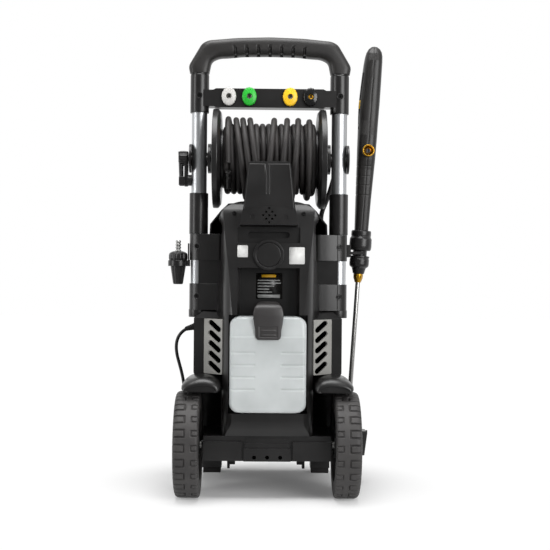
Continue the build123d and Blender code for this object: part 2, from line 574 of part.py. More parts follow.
def gun():
    """The gun in two half shells, its brass valve, the trigger with its lock, and the lance."""
    side = [(-14, 324), (-17, 400), (-19, 455), (-24, 480), (-24, 530), (-20, 545), (-17, 560),
            (-18, 640), (-17, 695), (-10, 714), (4, 722), (15, 720), (26, 706), (30, 680), (30, 650),
            (26, 600), (22, 540), (19, 455), (14, 324)]
    wide = [(-15, 324), (-17.5, 387), (-20, 455), (-23, 540), (-25, 594), (-23.5, 629), (-20.3, 681),
            (-18, 703), (-11, 718), (0, 723), (11, 719), (18, 705), (19.8, 690), (19.8, 600), (18.5, 500),
            (15.5, 390), (14.5, 324)]
    body = side_prism(side, (-25, 25)) & front_prism(wide, (-40, 60))
    slot = block((-40, 4), (-7, 7), (542, 664))
    pivot_x, pivot_h = TRIGGER_PIVOT
    pin = rod((pivot_x, -13, pivot_h), (pivot_x, 13, pivot_h), 2.5)
    core = rod((0, 0, 324), (0, 0, 520), 9) + rod((0, 0, INLET_H), (0, -22, INLET_H), 11)
    core += rod((0, -22, INLET_H), (0, -33, INLET_H), 13)
    mouth = rod((0, -34, INLET_H), (0, -12, INLET_H), 9)
    body = body - slot - core - pin
    for name, x in (("gun_shell_left", (-30, 0)), ("gun_shell_right", (0, 30))):
        save(name, tilted(body & block(x, (-50, 70), (300, 740))))
    save("gun_valve", tilted(core - mouth))

    outline = [(-13, 657), (-2, 657), (-2, 640), (-10, 575), (-12, 550), (-22.5, 548), (-21.5, 600),
               (-17, 640)]
    lever = front_prism(outline, (-6.5, 6.5), 1.5)
    lever += rod((pivot_x, -12.5, pivot_h), (pivot_x, 12.5, pivot_h), 2.5 - RUN)
    lever -= block((-40, -14), (-3.3, 3.3), (584, 615))
    lock_pin = rod((-17, -5, 604), (-17, 5, 604), 1.5)
    save("trigger", tilted(lever - lock_pin))
    latch = block((-25, -15), (-3, 3), (586, 604)) + rod((-17, -5, 604), (-17, 5, 604), 1.5 - RUN)
    save("trigger_lock", tilted(latch & block((-25, -15), (-5, 5), (586, 606))))

    sleeve = lathe_z([(10, 230.6), (12, 231), (15, 243), (20, 247), (21, 251), (21, 269), (BAND_R, BAND_H[0]),
                      (BAND_R, BAND_H[1]), (22, 283), (24, 286), (24, 309), (21, 312), (21, 323.9),
                      (10, 323.9)])
    save("lance_collar", tilted(sleeve))
    brass = lathe_z([(5, 212), (6.5, 212), (10, 222), (10.5, 230.5), (9.9, 230.6), (9.9, 323.9),
                     (5, 323.9)])
    save("lance_coupling", tilted(brass))
    pipe = rod((0, 0, -85), (0, 0, 323), 5)
    save("lance_tube", tilted(pipe))
    tip = lathe_z([(5, -66), (9, -68), (9, -96), (6, -104), (3, -104), (3, -85.1), (5, -85.1)])
    save("lance_tip", tilted(tip))


def holders():
    """The fork for the lance and the ring for the turbo nozzle."""
    fork = block((164, 174), (-14, 22), (490, 516)) + block((166, 174), (20, 60), (496.6, 502.4))
    for y in ((21, 24.6), (55.4, 59)):
        fork += block((166, 208), y, (496.6, 502.4))
    for other in ("clamps_upper", "tube_sleeves"):
        for solid in nodes[other]:
            fork -= solid
    save("lance_fork", fork)
    arm = block((-176, -164), (-26, -14), (468, 516))
    hoop = rod((TURBO_X, TUBE_Y, 468), (TURBO_X, TUBE_Y, 480), 21)
    hoop -= rod((TURBO_X, TUBE_Y, 460), (TURBO_X, TUBE_Y, 490), 14.8, 19.4)
    arm -= rod((TURBO_X, TUBE_Y, 460), (TURBO_X, TUBE_Y, 520), 21)
    hook = arm + hoop
    for solid in nodes["clamps_upper"]:
        hook -= solid
    save("turbo_ring", hook)
    turbo = lathe_z([(0, 430), (10, 430), (18.8, 488), (18.8, 494), (12, 499), (0, 499)])
    turbo += rod((0, 0, 499), (0, 0, 522), 5.5) - ring((0, 0, 512), (0, 0, 516), 6, 4.5)
    for index in range(8):
        turbo -= Rot(0, 0, 45 * index) * block((15.6, 22), (-1.5, 1.5), (440, 500))
    save("turbo_nozzle", Pos(TURBO_X, TUBE_Y, 0) * turbo)


# ---------------------------------------------------------------- cables
def arc_radii(points):
    """For each inner point, 0.45 of the shorter run, over the tangent of half the turn."""
    radii = []
    for before, here, after in zip(points, points[1:], points[2:]):
        first, second = Vector(*here) - Vector(*before), Vector(*after) - Vector(*here)
        half = radians(first.get_angle(second) / 2)
        radii.append(0.45 * min(first.length, second.length) / tan(half))
    return radii


def cable_tube(points, radius, name):
    """A round cable along straight runs joined by tangent arcs."""
    radii = arc_radii(points)
    path = FilletPolyline(*points, radius=radii)
    start = Plane(origin=points[0], z_dir=Vector(*points[1]) - Vector(*points[0]))
    tube = sweep(start * Circle(radius), path=path)
    print(name, "length", round(path.length), "radii", [round(r) for r in radii],
          "volume share", round(tube.volume / (pi * radius ** 2 * path.length), 4))
    return tube


def power_cable():
    """From the gland at the side, down behind the fender, and along the floor to its coil."""
    exit_x, y, z = CABLE_EXIT
    drop = Vector(-cos(radians(CABLE_DROP)), 0, -sin(radians(CABLE_DROP)))
    mouth = Vector(*CABLE_EXIT) + drop * 14
    gland = rod((exit_x + 12, y, z), (exit_x, y, z), 7) + rod(CABLE_EXIT, (exit_x - 4, y, z), 8.5)
    gland += rod(Vector(*CABLE_EXIT) + drop * 2, mouth, 7, 5.3)
    high = CABLE_R + 0.2
    points = [mouth - drop * 6, (-171.5, 10, 335.8), (-181.8, 10.5, 328.9), (-189.3, 11, 319.1),
              (-193.3, 12, 307.4), (-194.3, 14, 294), (-192.5, 17, 278.5), (-188, 21, 261),
              (-182.5, 26, 240), (-178, 31, 215), (-175.8, 36, 187), (-175.8, 40, 156),
              (-178.5, 43, 118), (-185, 50, 76), (-192, 66, 38), (-195.5, 93, 12),
              (-197, 130, high), (-195, 172, high + 0.1), (-199, 220, high), (-196, 264, high + 0.1),
              (-182, 302, high), (-154, 328, high + 0.1), (-112, 339, high), (-66, 337, high + 0.1),
              (-20, 340, high), (14, 338.5, high)]
    save("power_cable", cable_tube(points, CABLE_R, "power cable"))
    save("cable_gland", gland - nodes["power_cable"])
    outer = COIL_R[1]
    middle = (*COIL_MIDDLE, 0)
    coil = ring(middle, (*COIL_MIDDLE, COIL_HIGH), outer, COIL_R[0])
    save("power_cable_coil", coil - nodes["power_cable"])
    tail = [(22, 446, 25.2), (-4, 448, 23), (-26, 442, 17), (-44, 433, 15), (-60, PLUG_Y, PLUG_Z)]
    save("power_cable_tail", cable_tube(tail, CABLE_R, "cable tail") - nodes["power_cable_coil"])
    relief = rod((-60, PLUG_Y, PLUG_Z), (-84, PLUG_Y, PLUG_Z), 4.5, 8)
    body = relief + rod((-84, PLUG_Y, PLUG_Z), (-94, PLUG_Y, PLUG_Z), 9, 18.5)
    body += rod((-94, PLUG_Y, PLUG_Z), (-116, PLUG_Y, PLUG_Z), 18.5)
    save("plug_body", body - nodes["power_cable_tail"])
    pins = [rod((-116, PLUG_Y + dy, PLUG_Z), (-135, PLUG_Y + dy, PLUG_Z), 2.4) for dy in (-9.5, 9.5)]
    save("plug_pins", *pins)


frame()
spray_nozzles()
front_cover()
rear_cover()
holster()
clamps()
trim()
base()
screws()
wheels()
reel()
feed_hose()
bottle()
inside()
gun()
holders()
power_cable()

for name, solids in nodes.items():
    shape = solids[0] if len(solids) == 1 else Compound(solids)
    export_step(shape, f"parts/{name}.step")
print(len(nodes), "nodes")
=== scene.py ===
"""Pressure washer on two wheels, with its hose reel, gun, bottle and mains lead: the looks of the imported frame."""

import json
from math import cos, pi, radians, sin

import bmesh
import bpy
import numpy as np
from mathutils import Matrix, Vector

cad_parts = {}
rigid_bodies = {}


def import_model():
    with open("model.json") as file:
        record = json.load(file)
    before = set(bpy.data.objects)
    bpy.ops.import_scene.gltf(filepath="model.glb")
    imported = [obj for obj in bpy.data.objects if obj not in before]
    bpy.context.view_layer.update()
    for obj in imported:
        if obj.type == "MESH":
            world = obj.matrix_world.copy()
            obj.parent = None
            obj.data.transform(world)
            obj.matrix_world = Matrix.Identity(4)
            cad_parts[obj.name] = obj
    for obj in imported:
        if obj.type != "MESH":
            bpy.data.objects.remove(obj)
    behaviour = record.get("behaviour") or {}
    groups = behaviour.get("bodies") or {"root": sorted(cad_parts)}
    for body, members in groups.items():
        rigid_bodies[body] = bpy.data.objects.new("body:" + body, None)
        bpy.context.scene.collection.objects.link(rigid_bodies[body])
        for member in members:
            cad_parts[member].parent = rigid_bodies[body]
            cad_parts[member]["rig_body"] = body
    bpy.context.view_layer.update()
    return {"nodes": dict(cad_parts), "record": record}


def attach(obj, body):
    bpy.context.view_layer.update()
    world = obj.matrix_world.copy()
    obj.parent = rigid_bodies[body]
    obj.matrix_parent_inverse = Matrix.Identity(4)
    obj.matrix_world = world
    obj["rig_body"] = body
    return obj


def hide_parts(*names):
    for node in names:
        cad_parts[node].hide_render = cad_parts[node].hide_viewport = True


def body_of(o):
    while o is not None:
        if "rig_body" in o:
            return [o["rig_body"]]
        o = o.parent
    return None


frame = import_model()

# Lengths are in millimetres, and MM turns them into metres. X runs to the right, -Y to the side with the bottle.
MM = 0.001
UP, OUTWARD, LEFTWARD = (0, 0, 1), (0, -1, 0), (-1, 0, 0)
SIDES = ((-1, "left"), (1, "right"))
TUBE_X, TUBE_Y = 146.7, -20
WHEEL_X, AXLE_Y, AXLE_Z, WHEEL_RADIUS, TREAD_PITCHES = 160, -95, 107, 107, 23
REEL_Y, REEL_Z = -20.0, 694.0
REEL_AXLE = (0, REEL_Y, REEL_Z)
RACK_FACE, RACK_Z = -38.3, 821.5
TURBO_FOOT = (-189, -20, 0)
LID_HINGE = (0, -112, 386)


# --- small helpers -----------------------------------------------------------------------------------------

def linear(code):
    """An sRGB hex colour as the linear values that the shaders take."""
    value = np.array([int(code[i:i + 2], 16) for i in (1, 3, 5)]) / 255.0
    value = np.where(value <= 0.04045, value / 12.92, ((value + 0.055) / 1.055) ** 2.4)
    return (*value.tolist(), 1.0)


def linked(name, data):
    """A new object for some data, put into the scene."""
    obj = bpy.data.objects.new(name, data)
    bpy.context.scene.collection.objects.link(obj)
    return obj


def add(tree, kind, inputs=None, **settings):
    """One node with its settings; inputs hold a number, a colour or a socket to link for each socket."""
    node = tree.nodes.new(kind)
    for name, value in settings.items():
        setattr(node, name, value)
    for name, value in (inputs or {}).items():
        if isinstance(value, bpy.types.NodeSocket):
            tree.links.new(value, node.inputs[name])
        else:
            node.inputs[name].default_value = value
    return node


def combined(tree, operation, first, second):
    """The result of one operation on two values."""
    return add(tree, "ShaderNodeMath", {0: first, 1: second}, operation=operation).outputs[0]


def ramp(tree, value, low, high, start, end=1.0, kind="LINEAR"):
    """A value between low and high, mapped to the same share of the way from start to end."""
    return add(tree, "ShaderNodeMapRange", {"Value": value, "From Min": low, "From Max": high, "To Min": start,
                                            "To Max": end}, interpolation_type=kind).outputs["Result"]


def blended(tree, factor, first, second, kind="FLOAT"):
    """The first value or colour, turning into the second as the factor goes from 0 to 1."""
    return add(tree, "ShaderNodeMix", {"Factor": factor, "A": first, "B": second}, data_type=kind).outputs["Result"]


def finish_of(name, **sockets):
    """A material with one Principled shader, and its tree; the sockets are set straight on the shader."""
    material = bpy.data.materials.new(name)
    material.use_nodes = True
    tree = material.node_tree
    shader = tree.nodes["Principled BSDF"]
    for socket, value in sockets.items():
        shader.inputs[socket.replace("_", " ")].default_value = value
    return material, tree, shader


def drive(tree, shader, socket, source):
    """Links a node's output to one of the shader's sockets."""
    tree.links.new(source, shader.inputs[socket])


# --- camera ------------------------------------------------------------------------------------------------

# A long lens at the height of the machine's middle, turned and rolled by under a degree.
camera = linked("camera", bpy.data.cameras.new("camera"))
camera.data.lens, camera.data.sensor_width = 70.9, 36.0
turn, roll = radians(-0.814), radians(0.5)
camera.matrix_world = Matrix.Translation((-0.018, -2.295, 0.451)) @ (
    Matrix.Rotation(turn, 4, "Z") @ Matrix.Rotation(pi / 2, 4, "X") @ Matrix.Rotation(roll, 4, "Z"))
bpy.context.scene.camera = camera
bpy.context.scene.view_settings.view_transform = "Standard"


# --- finishes ----------------------------------------------------------------------------------------------

def moulded(name, dark, light, roughness, grain=0.9, depth=0.12, mottle=60.0, specular=0.5):
    """Moulded thermoplastic: two close tones that drift over mottle millimetres, where the melt flowed, and a
    spark-eroded grain of grain millimetres that breaks up the reflections."""
    material, tree, shader = finish_of(name, Roughness=roughness, IOR=1.5, Specular_IOR_Level=specular)
    place = add(tree, "ShaderNodeTexCoord").outputs["Object"]
    flow = add(tree, "ShaderNodeTexNoise", {"Vector": place, "Scale": 1000.0 / mottle, "Detail": 3.0}).outputs["Fac"]
    fine = add(tree, "ShaderNodeTexNoise", {"Vector": place, "Scale": 1000.0 / grain, "Detail": 1.0}).outputs["Fac"]
    bump = add(tree, "ShaderNodeBump", {"Height": fine, "Strength": depth, "Distance": 0.0004})
    drive(tree, shader, "Base Color",
          blended(tree, ramp(tree, flow, 0.3, 0.7, 0.0), linear(dark), linear(light), "RGBA"))
    drive(tree, shader, "Roughness", ramp(tree, flow, 0.0, 1.0, roughness - 0.05, roughness + 0.07))
    drive(tree, shader, "Normal", bump.outputs["Normal"])
    return material


def drawn_metal(name, dark, light, roughness, across=0.6, along=60.0):
    """Drawn or brushed metal: hair lines across millimetres wide and along millimetres long run upwards, and
    stretch the highlight."""
    material, tree, shader = finish_of(name, Metallic=1.0, Roughness=roughness)
    place = add(tree, "ShaderNodeTexCoord").outputs["Object"]
    scale = (1000.0 / across, 1000.0 / across, 1000.0 / along)
    stretched = add(tree, "ShaderNodeMapping", {"Vector": place, "Scale": scale}).outputs["Vector"]
    hair = add(tree, "ShaderNodeTexNoise", {"Vector": stretched, "Scale": 1.0, "Detail": 2.0}).outputs["Fac"]
    bump = add(tree, "ShaderNodeBump", {"Height": hair, "Strength": 0.05, "Distance": 0.0003})
    drive(tree, shader, "Base Color", blended(tree, hair, linear(dark), linear(light), "RGBA"))
    drive(tree, shader, "Roughness", ramp(tree, hair, 0.0, 1.0, roughness - 0.08, roughness + 0.08))
    drive(tree, shader, "Normal", bump.outputs["Normal"])
    return material


# ABS, moulded in a spark-eroded tool: a satin black that goes grey only where it mirrors a light.
abs_black = moulded("abs_satin_black", "#0f0e0e", "#181717", 0.3, depth=0.06)
# Glass-filled polyamide, moulded: a denser, slightly glossier black with a faint bloom.
nylon_black = moulded("polyamide_black", "#100f0f", "#191818", 0.3, grain=0.7, depth=0.06)
# The filler lid: the same polyamide with more filler, so a shade greyer and duller.
lid_black = moulded("polyamide_lid", "#272525", "#333131", 0.38, grain=0.7, depth=0.1)
# Soft-touch elastomer over ABS: warm and matt, it hardly mirrors anything.
soft_touch = moulded("soft_touch_warm_black", "#131110", "#1d1b1a", 0.42, grain=0.6, depth=0.14)
# Light grey moulded plastic of the slanted grilles, with a satin surface: the pale grey is painted light, for the
# light that the sloping panels catch.
grille_painted_light = moulded("slanted_grille_painted_light", "#7f7e7a", "#908f8b", 0.45)
# Blown polyethylene tyre: matt dark grey with a dusty bloom.
tyre_black = moulded("polyethylene_tyre", "#2b2929", "#393736", 0.55, grain=1.2, depth=0.3, mottle=35.0)
# Polypropylene rim: a shade lighter than the housing and duller.
rim_black = moulded("polypropylene_rim", "#141414", "#1e1e1e", 0.4)
# Rubber-covered high-pressure hose: matt dark grey, slightly cloth-marked by the vulcanising wrap.
hose_rubber = moulded("hose_rubber", "#211f1f", "#2e2b2a", 0.56, grain=1.4, depth=0.25, mottle=25.0, specular=0.4)
# PVC-sheathed lead, extruded: black with a soft shine.
cable_pvc = moulded("cable_pvc", "#101010", "#191919", 0.36, grain=0.8, depth=0.06)
# Moulded rubber of the feet, the boot and the seals: dull, with a dusty grain. It also colours the black discs in
# the tips' and the gun inlet's bores, which are painted shade.
rubber_black = moulded("rubber_feet", "#141313", "#1e1c1c", 0.65, grain=1.0, depth=0.2, specular=0.3)
# ABS from a polished tool: black that mirrors the lights sharply.
gloss_black = moulded("abs_gloss_black", "#0d0d0d", "#141414", 0.14, depth=0.03)
# Acetal collars of the spray tips, coloured through: clean tones with a soft shine.
acetal_grey = moulded("acetal_grey_white", "#b9b7b4", "#c9c7c4", 0.35)
acetal_green = moulded("acetal_green", "#189c26", "#22b431", 0.35)
acetal_yellow = moulded("acetal_yellow", "#e2ae0c", "#f2c11a", 0.35)
# Natural high-density polyethylene, blow-moulded: milky, some light goes into the wall and comes out beside.
bottle_milky = moulded("polyethylene_natural", "#a9adad", "#b7bbbb", 0.3, grain=1.6, depth=0.08)
milk = bottle_milky.node_tree.nodes["Principled BSDF"]
milk.inputs["Subsurface Weight"].default_value = 0.25
milk.inputs["Subsurface Radius"].default_value = (0.9, 1.0, 1.0)
milk.inputs["Subsurface Scale"].default_value = 0.006
# Blank vinyl sticker: flat white, without grain.
vinyl_white = moulded("vinyl_label", "#c9c9c7", "#d6d6d4", 0.4, depth=0.03)
# Screen-printed polyester of the blank rating plate: dark and smooth, with an amber field.
plate_black = moulded("polyester_label_black", "#131211", "#1c1b1a", 0.25, depth=0.03)
plate_amber = moulded("polyester_label_amber", "#b98a12", "#c99a20", 0.3, depth=0.03)
# Anodised aluminium tube, drawn: satin silver with lengthwise hair lines.
aluminium = drawn_metal("anodised_aluminium", "#b9bbbd", "#cfd1d3", 0.4)
# Stainless lance tube, ground lengthwise: brighter than the aluminium where it mirrors, darker elsewhere.
stainless = drawn_metal("stainless_steel", "#9c9b99", "#b8b7b5", 0.24)
# Zinc-plated steel of the tips' stems and the small plugs: plain grey with a bright glint.
zinc_steel = drawn_metal("zinc_plated_steel", "#858583", "#b0b0ae", 0.3)
# Steel screws, coloured dark as painted shade of the recesses that they sit in, with just a glint on the rim.
screw_painted_shade = drawn_metal("steel_darkened_as_recess_shade", "#1b1b1b", "#292929", 0.4, along=1.0)
# Turned stainless inserts of the spray tips, coloured darker than the lance's steel as painted shade of the bores
# that they sit in.
bore_painted_shade_steel = drawn_metal("insert_steel_painted_shade", "#5b5955", "#7d7b77", 0.32, across=0.4, along=6.0)
# Turned brass of the couplings: deep yellow, its shine broken by fine tool marks.
brass = drawn_metal("turned_brass", "#a67c1c", "#d3a238", 0.26, across=0.5, along=20.0)
# Silver ink on the blank rating plate, a little uneven.
plate_foil = moulded("rating_plate_silver", "#8b8c8b", "#a3a4a3", 0.35, grain=0.5, mottle=12.0)

SLOT_FINISH = {
    # the grille slot's pale grey is painted light on the sloping panels
    "housing": abs_black, "trim_plastic": nylon_black, "grip": soft_touch, "grille": grille_painted_light,
    "tube": aluminium, "tyre": tyre_black, "rim": rim_black, "hose": hose_rubber, "cable": cable_pvc,
    # the zinc slot's screws take the darkened steel, which is painted shade of their recesses
    "bottle": bottle_milky, "brass": brass, "steel": stainless, "zinc": screw_painted_shade, "rubber": rubber_black,
    "white": acetal_grey, "green": acetal_green, "yellow": acetal_yellow, "gloss_black": gloss_black,
}


# --- making pieces -----------------------------------------------------------------------------------------

def piece(name, mesh, finish, body, nodes=()):
    """An object for a finished mesh, with its finish, on its body, in place of its CAD nodes."""
    obj = linked(name, mesh)
    mesh.materials.clear()
    mesh.materials.append(finish)
    mesh.polygons.foreach_set("use_smooth", np.ones(len(mesh.polygons), dtype=bool))
    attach(obj, body)
    if nodes:
        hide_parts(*nodes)
    return obj


def quads(rows, columns, wrap_rows):
    """The four-cornered faces between neighbouring points of a grid of rows and columns. The columns close to a
    ring, and with wrap_rows the rows do too."""
    i, j = np.meshgrid(np.arange(rows if wrap_rows else rows - 1), np.arange(columns), indexing="ij")
    below, beside = (i + 1) % rows, (j + 1) % columns
    corners = [i * columns + j, i * columns + beside, below * columns + beside, below * columns + j]
    return np.stack(corners, -1).reshape(-1, 4).tolist()


def skin(name, grid, finish, body, nodes=(), wrap_rows=False):
    """A closed surface through a grid of points in millimetres: its columns run round, its rows along, and its
    first and last rows are joined or each closed by a face. Points that meet are merged and the faces turned
    outwards."""
    rows, columns = grid.shape[:2]
    faces = quads(rows, columns, wrap_rows)
    if not wrap_rows:
        faces += [list(range(columns)), list(range((rows - 1) * columns, rows * columns))]
    mesh = bpy.data.meshes.new(name)
    mesh.from_pydata((grid.reshape(-1, 3) * MM).tolist(), [], faces)
    work = bmesh.new()
    work.from_mesh(mesh)
    bmesh.ops.remove_doubles(work, verts=work.verts, dist=2e-6)
    bmesh.ops.recalc_face_normals(work, faces=work.faces)
    work.to_mesh(mesh)
    work.free()
    return piece(name, mesh, finish, body, nodes)


def eased(corners, radius, steps=5):
    """A line through corners with each inner corner rounded: a parabola from radius before it to radius after it,
    or half of the shorter run. Corners and radius are in millimetres."""
    points = np.asarray(corners, dtype=float)
    inner, before, after = points[1:-1], points[:-2], points[2:]
    back, on = before - inner, after - inner
    near, far = np.linalg.norm(back, axis=1), np.linalg.norm(on, axis=1)
    cut = np.minimum(radius, 0.48 * np.minimum(near, far))[:, None]
    start, end = inner + back / near[:, None] * cut, inner + on / far[:, None] * cut
    t = np.linspace(0, 1, steps)[None, :, None]
    arcs = (1 - t) ** 2 * start[:, None] + 2 * t * (1 - t) * inner[:, None] + t ** 2 * end[:, None]
    return np.vstack([points[:1], arcs.reshape(-1, points.shape[1]), points[-1:]])


def eased_loop(corners, radius, steps=5):
    """A closed outline with all of its corners rounded as eased does."""
    points = np.asarray(corners, dtype=float)
    middle = (points[:1] + points[-1:]) / 2
    return eased(np.vstack([middle, points, middle]), radius, steps)[:-1]


def resampled(path, steps):
    """Even steps along a flat line: how far along it each one lies, and its two coordinates."""
    runs = np.concatenate([[0], np.cumsum(np.linalg.norm(np.diff(path, axis=0), axis=1))])
    even = np.linspace(0, runs[-1], steps)
    return even, np.interp(even, runs, path[:, 0]), np.interp(even, runs, path[:, 1])


def drawn_out(wave, power):
    """A sine or cosine raised to a power below 1 with its sign kept, which draws a circle out towards a square."""
    return np.sign(wave) * np.abs(wave) ** power


def bump_near(distance, half, edge):
    """1 within half of a line and 0 beyond half plus edge, falling evenly between."""
    return np.clip((half + edge - np.abs(distance)) / edge, 0, 1)


def round_edges(obj, width, segments=3, angle=28.0):
    """A bevel of width millimetres on every edge that turns by more than angle degrees."""
    bevel = obj.modifiers.new("round", "BEVEL")
    bevel.width, bevel.segments, bevel.limit_method = width * MM, segments, "ANGLE"
    bevel.angle_limit, bevel.harden_normals = radians(angle), True


def turned(name, profile, foot, axis, finish, body, nodes=(), ease=0.8, sides=48, ribs=0, rib_depth=0.0):
    """A turned piece: the profile's radius and height in millimetres, its corners eased, carried round the axis
    from foot. Ribs make the radius swell and shrink by rib_depth that many times a turn."""
    profile = eased(profile, ease)
    axis = np.array(axis, dtype=float) / np.linalg.norm(axis)
    side = np.cross(axis, (0.0, 1.0, 0.0) if abs(axis[1]) < 0.9 else (1.0, 0.0, 0.0))
    side /= np.linalg.norm(side)
    other = np.cross(axis, side)
    angle = np.linspace(0, 2 * pi, sides, endpoint=False)
    radius = profile[:, :1] * (1 + rib_depth * np.cos(ribs * angle)[None])
    spokes = np.cos(angle)[:, None] * side + np.sin(angle)[:, None] * other
    grid = np.array(foot, dtype=float) + radius[..., None] * spokes[None] + profile[:, 1, None, None] * axis
    return skin(name, grid, finish, body, nodes)


def softened(node, width, finish):
    """The CAD node's own shape with its edges rounded over width millimetres, as a moulding tool leaves them:
    its triangles are merged to whole faces, and the sharp edges are bevelled."""
    source = frame["nodes"][node]
    mesh = source.data.copy()
    work = bmesh.new()
    work.from_mesh(mesh)
    bmesh.ops.remove_doubles(work, verts=work.verts, dist=1e-5)
    bmesh.ops.dissolve_limit(work, angle_limit=radians(1.0), verts=work.verts, edges=work.edges)
    work.to_mesh(mesh)
    work.free()
    obj = piece(node + "_form", mesh, finish, body_of(source)[0], (node,))
    round_edges(obj, width)
    even = obj.modifiers.new("even", "WEIGHTED_NORMAL")
    even.keep_sharp, even.weight = False, 90


def prism(name, outline, start, end, finish, body, nodes=(), bevel=1.5, plane="xz"):
    """A flat plate: an outline pushed from start to end along the third axis, with its edges rounded by a bevel."""
    outline = np.array(outline, dtype=float)
    order = {"xz": (0, 2, 1), "yz": (1, 2, 0), "xy": (0, 1, 2)}[plane]
    grid = np.zeros((2, len(outline), 3))
    grid[..., order[0]], grid[..., order[1]] = outline[None, :, 0], outline[None, :, 1]
    grid[0, :, order[2]], grid[1, :, order[2]] = start, end
    round_edges(skin(name, grid, finish, body, nodes), bevel)


def line(name, points, radius, finish, body, nodes=()):
    """A round cord on one smooth NURBS line, whose control points are in millimetres."""
    curve = bpy.data.curves.new(name, "CURVE")
    curve.dimensions, curve.bevel_depth, curve.bevel_resolution = "3D", radius * MM, 4
    curve.use_fill_caps = True
    spline = curve.splines.new("NURBS")
    spline.points.add(len(points) - 1)
    flat = np.hstack([np.asarray(points) * MM, np.ones((len(points), 1))])
    spline.points.foreach_set("co", flat.ravel())
    spline.order_u, spline.use_endpoint_u, spline.resolution_u = 3, True, 3
    spline.use_smooth = True
    obj = linked(name, curve)
    curve.materials.append(finish)
    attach(obj, body)
    if nodes:
        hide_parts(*nodes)
    return obj


# --- cords -------------------------------------------------------------------------------------------------

GLAND = np.array([-152.0, 10.0, 341.0])
CABLE_DROP = np.array([-cos(radians(15)), 0.0, -sin(radians(15))])
MOUTH = GLAND + 14.0 * CABLE_DROP
COIL = (40.0, 392.0)
LEAD_PITCH, LEAD_HEIGHT = 7.0, 3.7
TURN_STEP = 1 / 16


def mains_lead():
    """The lead's control points: out of the gland, down the flank and behind the wheel, along the floor, round a
    coil of 15.5 turns in four layers, and off it to the plug. In the coil the radius keeps still for most of a
    turn and then steps by one pitch, and the last turn of a layer steps up instead."""
    run = [MOUTH - 6 * CABLE_DROP, (-171.5, 10, 335.8), (-181.8, 10.5, 328.9), (-189.3, 11, 319.1),
           (-193.3, 12, 307.4), (-194.3, 14, 294), (-192.5, 17, 278.5), (-188, 21, 261), (-182.5, 26, 240),
           (-178, 31, 215), (-175.8, 36, 187), (-175.8, 40, 156), (-178.5, 43, 118), (-185, 50, 76),
           (-192, 66, 38), (-195.5, 93, 12), (-197, 130, 3.7), (-195, 172, 3.8), (-199, 220, 3.7),
           (-196, 264, 3.8), (-182, 302, 3.7), (-154, 328, 3.8), (-112, 339, 3.7), (-66, 337, 3.8),
           (-20, 340, 3.7), (14, 338.5, 3.7)]
    columns = np.array([52.5, 45.5, 38.5, 31.5])
    turns = np.arange(0, 15.5 + TURN_STEP / 2, TURN_STEP)
    whole = np.minimum(turns.astype(int), 15)
    layer, place = whole // 4, whole % 4
    across = np.where(layer % 2 == 0, place, 3 - place)
    radius = columns[across]
    part = np.clip((turns - whole - 0.75) / 0.25, 0, 1)
    moved = part * part * (3 - 2 * part)
    last = place == 3
    inwards = np.where(layer % 2 == 0, -LEAD_PITCH, LEAD_PITCH)
    radius = radius + np.where(last, 0.0, inwards * moved)
    height = LEAD_HEIGHT + LEAD_PITCH * layer + np.where(last, LEAD_PITCH * moved, 0.0)
    angle = 2 * pi * turns - pi / 2
    coil = np.stack([COIL[0] + radius * np.cos(angle), COIL[1] + radius * np.sin(angle), height], 1)
    tail = [(22, 446, 25.2), (-4, 448, 23), (-26, 442, 17), (-44, 433, 15), (-60, 430, 19.5)]
    return np.vstack([run, coil, tail])


def reel_hose():
    """The hose's control points on the drum: 15 close turns from left to right, then 8 looser turns back, which
    lean as they were wound, and a last part turn down to the connector. A point is the reel's axis plus its
    radius at its angle, where 0 is the top and a quarter turn is the side towards the bottle."""
    first, outward, last = -0.28, 15.0, 22.32
    turns = np.arange(first, last, TURN_STEP)
    # where each outer turn crosses the top, and where it crosses the bottom half a turn later
    tops = [83, 60, 37, 10, -41, -56, -70, -86]
    bottoms = [80, 48, 22, -6, -19, -34, -48]
    marks = np.empty(len(tops) + len(bottoms))
    marks[0::2], marks[1::2] = tops, bottoms
    below = np.clip(((turns - outward) * 2).astype(int), 0, len(marks) - 1)
    after = np.minimum(below + 1, len(marks) - 1)
    share = (1 - np.cos(pi * ((turns - outward) * 2 - below))) / 2
    outer = marks[below] + (marks[after] - marks[below]) * share
    inner = np.interp(turns, [first, 0.3, 14.0, 14.4, outward], [-90, -89.5, 89.5, 90.5, 83])
    leaving = np.interp(turns, [22.0, last], [-86.0, -84.0])
    x = np.where(turns < outward, inner, np.where(turns > 22.0, leaving, outer))
    r = np.interp(turns, [first, 0.3, 14.3, 15.2, 21.6, last], [55.0, 68.0, 68.0, 80.6, 80.6, 84.0])
    # the line runs inside its control points by the cosine of half a step
    r = r / cos(pi * TURN_STEP)
    angle = 2 * pi * turns
    return np.stack([x, REEL_Y - r * np.sin(angle), REEL_Z + r * np.cos(angle)], 1)


lead = line("mains_lead", mains_lead(), 3.5, cable_pvc, "chassis",
            ("power_cable", "power_cable_coil", "power_cable_tail"))
hose = line("wound_hose", reel_hose(), 6.25, hose_rubber, "reel", ("hose_winding",))


# --- the CAD's own shapes ----------------------------------------------------------------------------------

slot_of = {part["node"]: part["material_slot"] for part in frame["record"]["subparts"]}
for node, obj in frame["nodes"].items():
    obj.data.materials.clear()
    obj.data.materials.append(SLOT_FINISH[slot_of[node]])

# how far each node's edges are rounded
for node, width in {
    "base_tray": 2.0, "rear_cover": 3.0, "front_cover": 4.0, "tube_sleeves": 1.0, "nozzle_rack": 2.0,
    "reel_brackets": 1.0, "holster": 2.0, "access_cap": 1.2, "lance_fork": 1.0, "turbo_ring": 1.0, "reel_drum": 2.4,
    "crank_grip": 1.0, "bottle_collar": 0.8, "trigger": 1.2, "trigger_lock": 0.8, "switch_knob": 1.0,
    "front_feet": 1.5, "rim_left": 0.8, "rim_right": 0.8,
}.items():
    softened(node, width, SLOT_FINISH[slot_of[node]])


# --- tyres -------------------------------------------------------------------------------------------------

